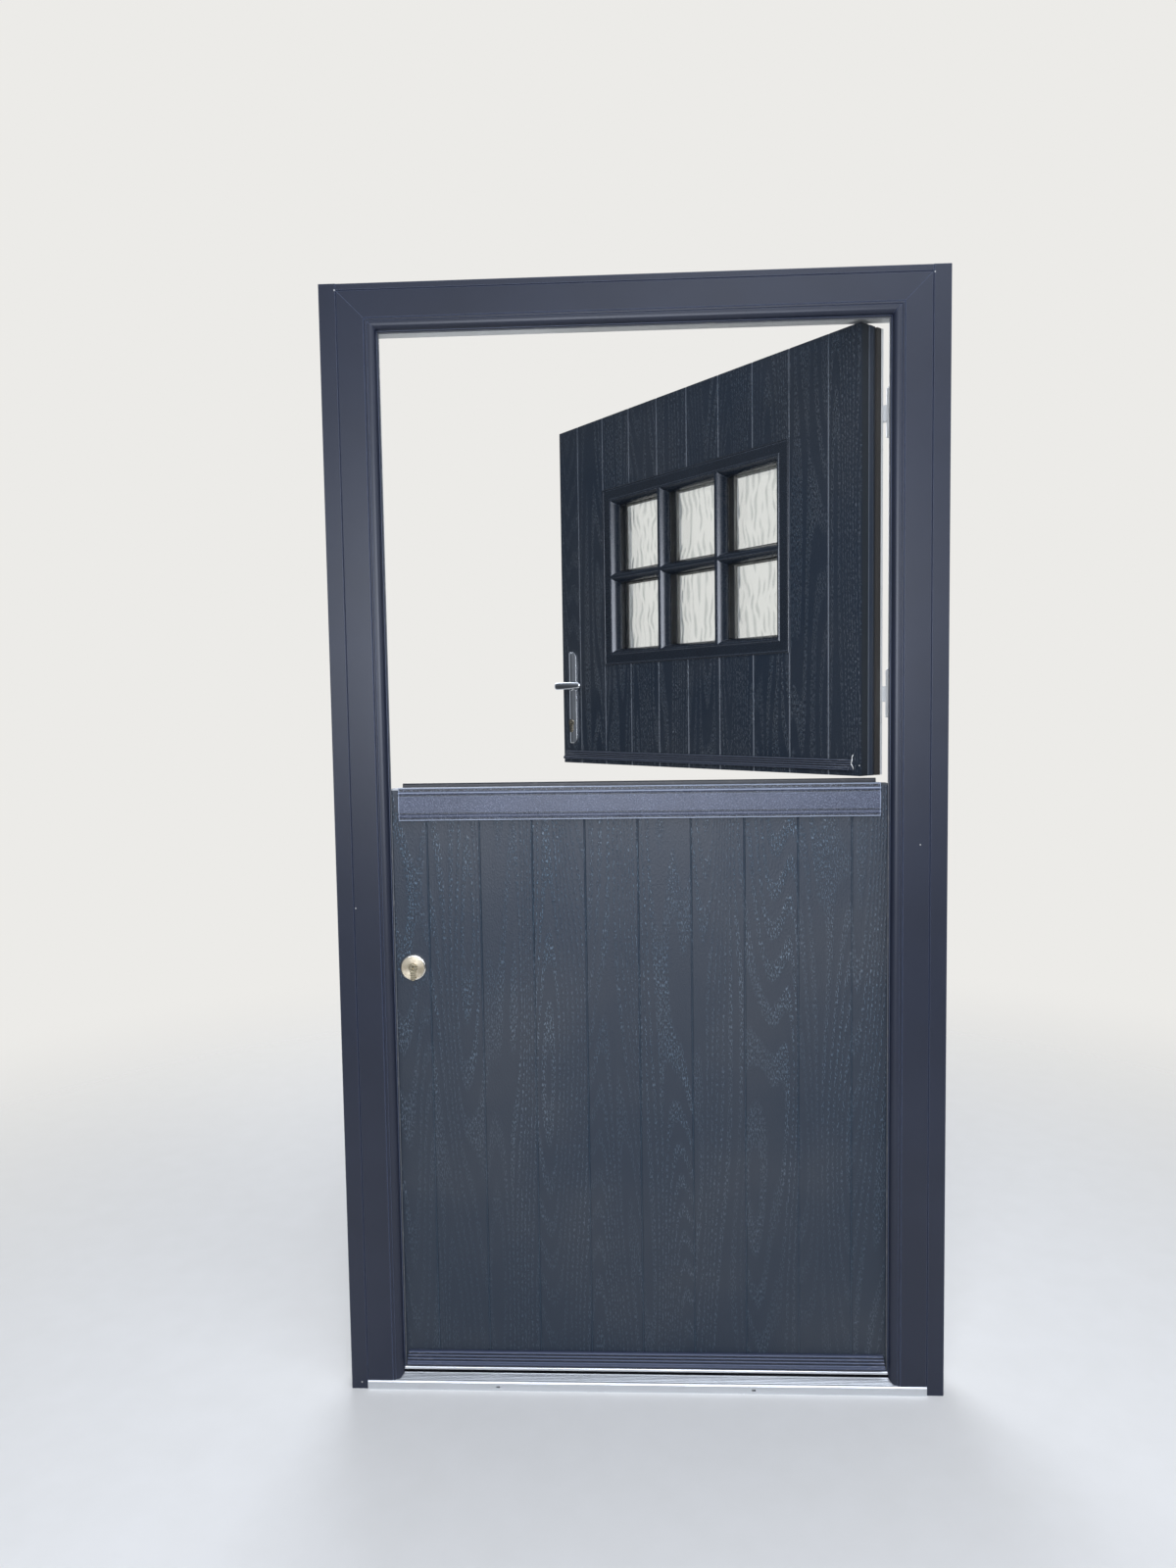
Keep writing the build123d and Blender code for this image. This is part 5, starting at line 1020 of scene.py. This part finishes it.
class DOOR_OT_handles(bpy.types.Operator):
    """Fits the levers with their collars, and finishes the plates, escutcheons and cylinders"""

    bl_idname = "stable_door.handles"
    bl_label = "Handles and cylinders"

    def execute(self, context):
        handles = context.scene.stable_door_handles
        chrome = chrome_plate("polished_chrome_plate", True)
        dress(["top_plate_outer", "top_plate_inner"], chrome)
        for side, inward in (("outer", False), ("inner", True)):
            lever = self.lever(f"lever_{side}", inward, handles, chrome)
            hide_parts(f"top_lever_{side}")
            placed(lever, "top_lever", turned=True)
            collar = self.collar(f"lever_collar_{side}", inward, chrome)
            placed(collar, "top_leaf", turned=True)
        nickel = fine_metal("satin_nickel_cylinder", True, "#c9c0ae", "#a1967f", 0.26)
        dress(["top_cylinder", "top_cylinder_turn"], nickel)
        low_nickel = fine_metal("satin_nickel_lower_cylinder", False, "#d6cbb2", "#a89a78", 0.26)
        dress(["bottom_cylinder", "bottom_cylinder_turn"], low_nickel)
        disc = turned_nickel("turned_satin_nickel")
        dress(["bottom_escutcheon_outer", "bottom_escutcheon_inner"], disc)
        self.plate_screws(fine_metal("bright_zinc_screw", True, "#d2d4d5", "#a5a8aa", 0.25))
        return {"FINISHED"}

    def lever(self, name, inward, handles, material):
        bm = bmesh.new()
        skin_rings(bm, lever_rings(handles))
        if inward:
            mirrored_inward(bm)
        return finished_piece(name, bm, material)

    def collar(self, name, inward, material):
        bm = bmesh.new()
        count = 40
        sections = []
        for k in range(count):
            angle = 2 * math.pi * k / count
            c, s = math.cos(angle), math.sin(angle)
            sections.append([(LOCK_X + r * c, COLLAR_Y + d, LEVER_Z + r * s) for r, d in COLLAR_SECTION])
        closed_run(bm, sections)
        if inward:
            mirrored_inward(bm)
        return finished_piece(name, bm, material)

    def plate_screws(self, material):
        y = 2 * SLAB_MID_Y - PLATE_FACE_Y
        rise = PLATE_H / 2 - PLATE_SCREW_INSET
        places = [(LOCK_X, y, PLATE_Z - rise), (LOCK_X, y, PLATE_Z + rise)]
        screws = screws_piece("inner_plate_screws", places, (0, 1, 0), PLATE_SCREW, material)
        placed(screws, "top_leaf", turned=True)


class DOOR_OT_locks(bpy.types.Operator):
    """Finishes the locks, bolts and keeps, and screws on their plates"""

    bl_idname = "stable_door.locks"
    bl_label = "Locks and keeps"

    def execute(self, context):
        upper = fine_metal("satin_steel_upper_lock", True, "#c6c6c3", "#9b9b98", 0.28, LINES_ALONG_Z)
        lower = fine_metal("satin_steel_lower_lock", False, "#c6c6c3", "#9b9b98", 0.28, LINES_ALONG_Z)
        zinc = fine_metal("zinc_plated_lock_works", False, "#b9bdbf", "#878c8f", 0.40, SPANGLE)
        dress(["top_faceplate", "top_latch", "top_deadbolt"], upper)
        dress(["bottom_faceplate", "bottom_deadbolt", "keep_top", "keep_bottom"], lower)
        dress(["top_lock_case", "bottom_lock_case", "top_follower", "top_spindle"], zinc)
        top = [(-SLAB_HALF_W, SLAB_MID_Y, z) for z in TOP_FACEPLATE_SCREWS_Z]
        low = [(-SLAB_HALF_W, SLAB_MID_Y, z) for z in BOTTOM_FACEPLATE_SCREWS_Z]
        keeps = [(KEEP_FACE_X, SLAB_MID_Y, z) for z in KEEP_SCREWS_Z]
        piece = screws_piece("top_faceplate_screws", top, (-1, 0, 0), FACEPLATE_SCREW, upper)
        placed(piece, "top_leaf", turned=True)
        piece = screws_piece("bottom_faceplate_screws", low, (-1, 0, 0), FACEPLATE_SCREW, lower)
        placed(piece, "bottom_leaf")
        piece = screws_piece("keep_screws", keeps, (1, 0, 0), KEEP_SCREW, lower)
        placed(piece, "frame")
        return {"FINISHED"}


class DOOR_OT_hinges(bpy.types.Operator):
    """Finishes the hinges and drives their screws"""

    bl_idname = "stable_door.hinges"
    bl_label = "Hinges"

    def execute(self, context):
        still = plain_white("white_powder_coat_hinge", False)
        moving = plain_white("white_powder_coat_upper_hinge", True)
        dress([f"hinge_{k}_frame_flag" for k in (1, 2, 3, 4)], still)
        dress(["hinge_3_leaf_flag", "hinge_4_leaf_flag"], still)
        dress(["hinge_1_leaf_flag", "hinge_2_leaf_flag"], moving)
        pin = fine_metal("bright_steel_hinge_pin", False, "#cfd1d2", "#a3a6a8", 0.22)
        dress(["hinge_pins"], pin)
        zinc = fine_metal("zinc_plated_screw", False, "#c3c7c9", "#94999c", 0.30)
        upper = HINGE_STARTS[:2]
        lower = HINGE_STARTS[2:]
        self.screws("frame_screws", "frame", FRAME_SCREW_X, HINGE_STARTS, (), zinc)
        self.screws("top_leaf_screws", "top_leaf", LEAF_SCREW_X, upper, COUPLER_GUIDE_SCREWS, zinc)
        self.screws("bottom_leaf_screws", "bottom_leaf", LEAF_SCREW_X, lower, COUPLER_KEEP_SCREWS, zinc)
        return {"FINISHED"}

    def screws(self, node, body, x, starts, others, material):
        places = [(x, HINGE_FACE_Y, start + step) for start in starts for step in HINGE_SCREW_STEPS]
        places += [(other_x, COUPLER_FACE_Y, z) for other_x, z in others]
        piece = screws_piece(f"cross_{node}", places, (0, 1, 0), HINGE_SCREW, material)
        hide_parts(node)
        placed(piece, body, turned=body == "top_leaf")


class DOOR_OT_coupling(bpy.types.Operator):
    """Finishes the bolt that joins the two leaves"""

    bl_idname = "stable_door.coupling"
    bl_label = "Coupling bolt"

    def execute(self, context):
        dress(["coupler_guides"], plain_white("white_powder_coat_guides", True))
        dress(["coupler_keep"], plain_white("white_powder_coat_keep", False))
        steel = fine_metal("bright_steel_bolt", True, "#cfd1d2", "#a0a3a5", 0.2, LINES_ALONG_Z)
        dress(["coupler_bolt"], steel)
        return {"FINISHED"}


class DOOR_OT_stage(bpy.types.Operator):
    """Lays the floor, and sets the lights, the surroundings and the camera"""

    bl_idname = "stable_door.stage"
    bl_label = "Stage"

    def execute(self, context):
        scene = context.scene
        scene.view_settings.view_transform = "Standard"
        self.floor(scene.stable_door_stage)
        self.surroundings(scene)
        key = scene.stable_door_stage.key_power
        for name, place, target, size, power in (
            ("key", (-0.15, -3.4, 1.66), (0.0, 0.0, 1.1), (2.2, 1.2), key),
            ("top", (0.9, -2.4, 4.2), (0.0, 0.0, 1.0), (2.2, 2.2), key * 0.5),
            ("side", (3.0, -2.0, 2.2), (0.0, 0.0, 1.1), (1.6, 2.4), key * 0.25),
            ("inside", (-0.6, 3.4, 3.0), (0.0, 0.1, 1.1), (2.4, 2.4), key * 0.8),
        ):
            self.softbox(scene, name, place, target, size, power)
        self.camera(scene)
        return {"FINISHED"}

    def floor(self, stage):
        bm = bmesh.new()
        bmesh.ops.create_circle(bm, cap_ends=True, segments=96, radius=FLOOR_R)
        material, tree = fresh_material("pale_floor")
        place = add_node(tree, "TexCoord").outputs["Object"]
        grain = add_node(tree, "TexNoise", place, 14.0, 4.0, 0.5)
        colour = add_node(tree, "Mix", grain, (*stage.floor, 1.0), linear("#e3e1dc"))
        painted = add_node(tree, "BsdfPrincipled", Base_Color=colour, Roughness=0.75)
        # It fades into the backdrop away from the door.
        away = add_node(tree, "VectorMath", place, operation="LENGTH")
        share = add_node(tree, "MapRange", away, *FLOOR_FADE)
        clear = add_node(tree, "BsdfTransparent")
        both = add_node(tree, "MixShader", share, painted, clear)
        add_node(tree, "OutputMaterial", both)
        finished_piece("floor", bm, material, smooth=False)

    def surroundings(self, scene):
        world = bpy.data.worlds.new("soft_daylight")
        scene.world = world
        world.use_nodes = True
        tree = world.node_tree
        tree.nodes.clear()
        # Metal and paint mirror the pale backdrop overhead, and a dimmer one towards the horizon.
        way = add_node(tree, "SeparateXYZ", add_node(tree, "TexCoord").outputs["Generated"]).outputs
        height = add_node(tree, "MapRange", way[2], -0.10, 0.80, 0.18, 1.0)
        front = add_node(tree, "MapRange", way[1], -0.25, 0.35, 1.0, 0.45)
        dimmer = add_node(tree, "Math", height, front)
        # Behind the door and low down it stays pale, so that the inner side mirrors no black.
        far = add_node(tree, "MapRange", way[1], 0.45, 0.75, 0.0, 0.75)
        low = add_node(tree, "MapRange", way[2], 0.20, 0.45, 1.0, 0.0)
        wall = add_node(tree, "Math", far, low)
        strength = add_node(tree, "Math", dimmer, wall, operation="MAXIMUM")
        light = add_node(tree, "Background", linear("#eef1f5"), 0.38)
        mirrored = add_node(tree, "Background", linear("#dfe8f6"), strength)
        backdrop = add_node(tree, "Background", linear("#ecebe8"), 1.0)
        ray = add_node(tree, "LightPath").outputs
        unseen = add_node(tree, "MixShader", ray["Is Glossy Ray"], light, mirrored)
        through = add_node(
            tree, "Math", ray["Is Camera Ray"], ray["Is Transmission Ray"], operation="MAXIMUM"
        )
        both = add_node(tree, "MixShader", through, unseen, backdrop)
        add_node(tree, "OutputWorld", both)

    def softbox(self, scene, name, place, target, size, power):
        light = bpy.data.lights.new(name, "AREA")
        light.energy = power
        light.color = linear("#eaf1ff")[:3]
        light.shape = "RECTANGLE"
        light.size, light.size_y = size
        lamp = bpy.data.objects.new(name, light)
        lamp.location = place
        lamp.rotation_euler = (Vector(target) - Vector(place)).to_track_quat("-Z", "Y").to_euler()
        lamp.visible_camera = False
        lamp.visible_transmission = False
        scene.collection.objects.link(lamp)

    def camera(self, scene):
        data = bpy.data.cameras.new("viewpoint")
        data.sensor_fit = "AUTO"
        data.sensor_width = CAMERA_SENSOR_MM
        data.lens = CAMERA_SENSOR_MM * CAMERA_LENS_PX / PHOTO_HEIGHT_PX
        level = Matrix.Rotation(math.radians(90), 3, "X")
        yaw = Matrix.Rotation(CAMERA_YAW, 3, "Z")
        pitch = Matrix.Rotation(CAMERA_PITCH, 3, "X")
        roll = Matrix.Rotation(CAMERA_ROLL, 3, "Y")
        camera = bpy.data.objects.new("viewpoint", data)
        camera.matrix_world = Matrix.Translation(CAMERA_PLACE) @ (yaw @ pitch @ roll @ level).to_4x4()
        scene.collection.objects.link(camera)
        scene.camera = camera


class DOOR_PT_sidebar(bpy.types.Panel):
    bl_idname = "DOOR_PT_sidebar"
    bl_label = "Stable door"
    bl_space_type = "VIEW_3D"
    bl_region_type = "UI"
    bl_category = "Stable door"

    def draw(self, context):
        for name, group in GROUPS.items():
            for setting in group.__annotations__:
                self.layout.prop(getattr(context.scene, name), setting)
        for operator in OPERATORS:
            self.layout.operator(operator.bl_idname)


GROUPS = {
    "stable_door_skin": StableDoorSkin,
    "stable_door_glass": StableDoorGlass,
    "stable_door_handles": StableDoorHandles,
    "stable_door_stage": StableDoorStage,
}
OPERATORS = (
    DOOR_OT_stage,
    DOOR_OT_outer_frame,
    DOOR_OT_leaf_skins,
    DOOR_OT_window,
    DOOR_OT_rail_and_bars,
    DOOR_OT_handles,
    DOOR_OT_locks,
    DOOR_OT_hinges,
    DOOR_OT_coupling,
)
CLASSES = (*GROUPS.values(), *OPERATORS, DOOR_PT_sidebar)


def register():
    for kind in CLASSES:
        bpy.utils.register_class(kind)
    for name, group in GROUPS.items():
        setattr(bpy.types.Scene, name, bpy.props.PointerProperty(type=group))


def unregister():
    for name in GROUPS:
        delattr(bpy.types.Scene, name)
    for kind in reversed(CLASSES):
        bpy.utils.unregister_class(kind)


def main():
    register()
    for operator in OPERATORS:
        family, name = operator.bl_idname.split(".")
        getattr(getattr(bpy.ops, family), name)()


if __name__ == "__main__":
    main()
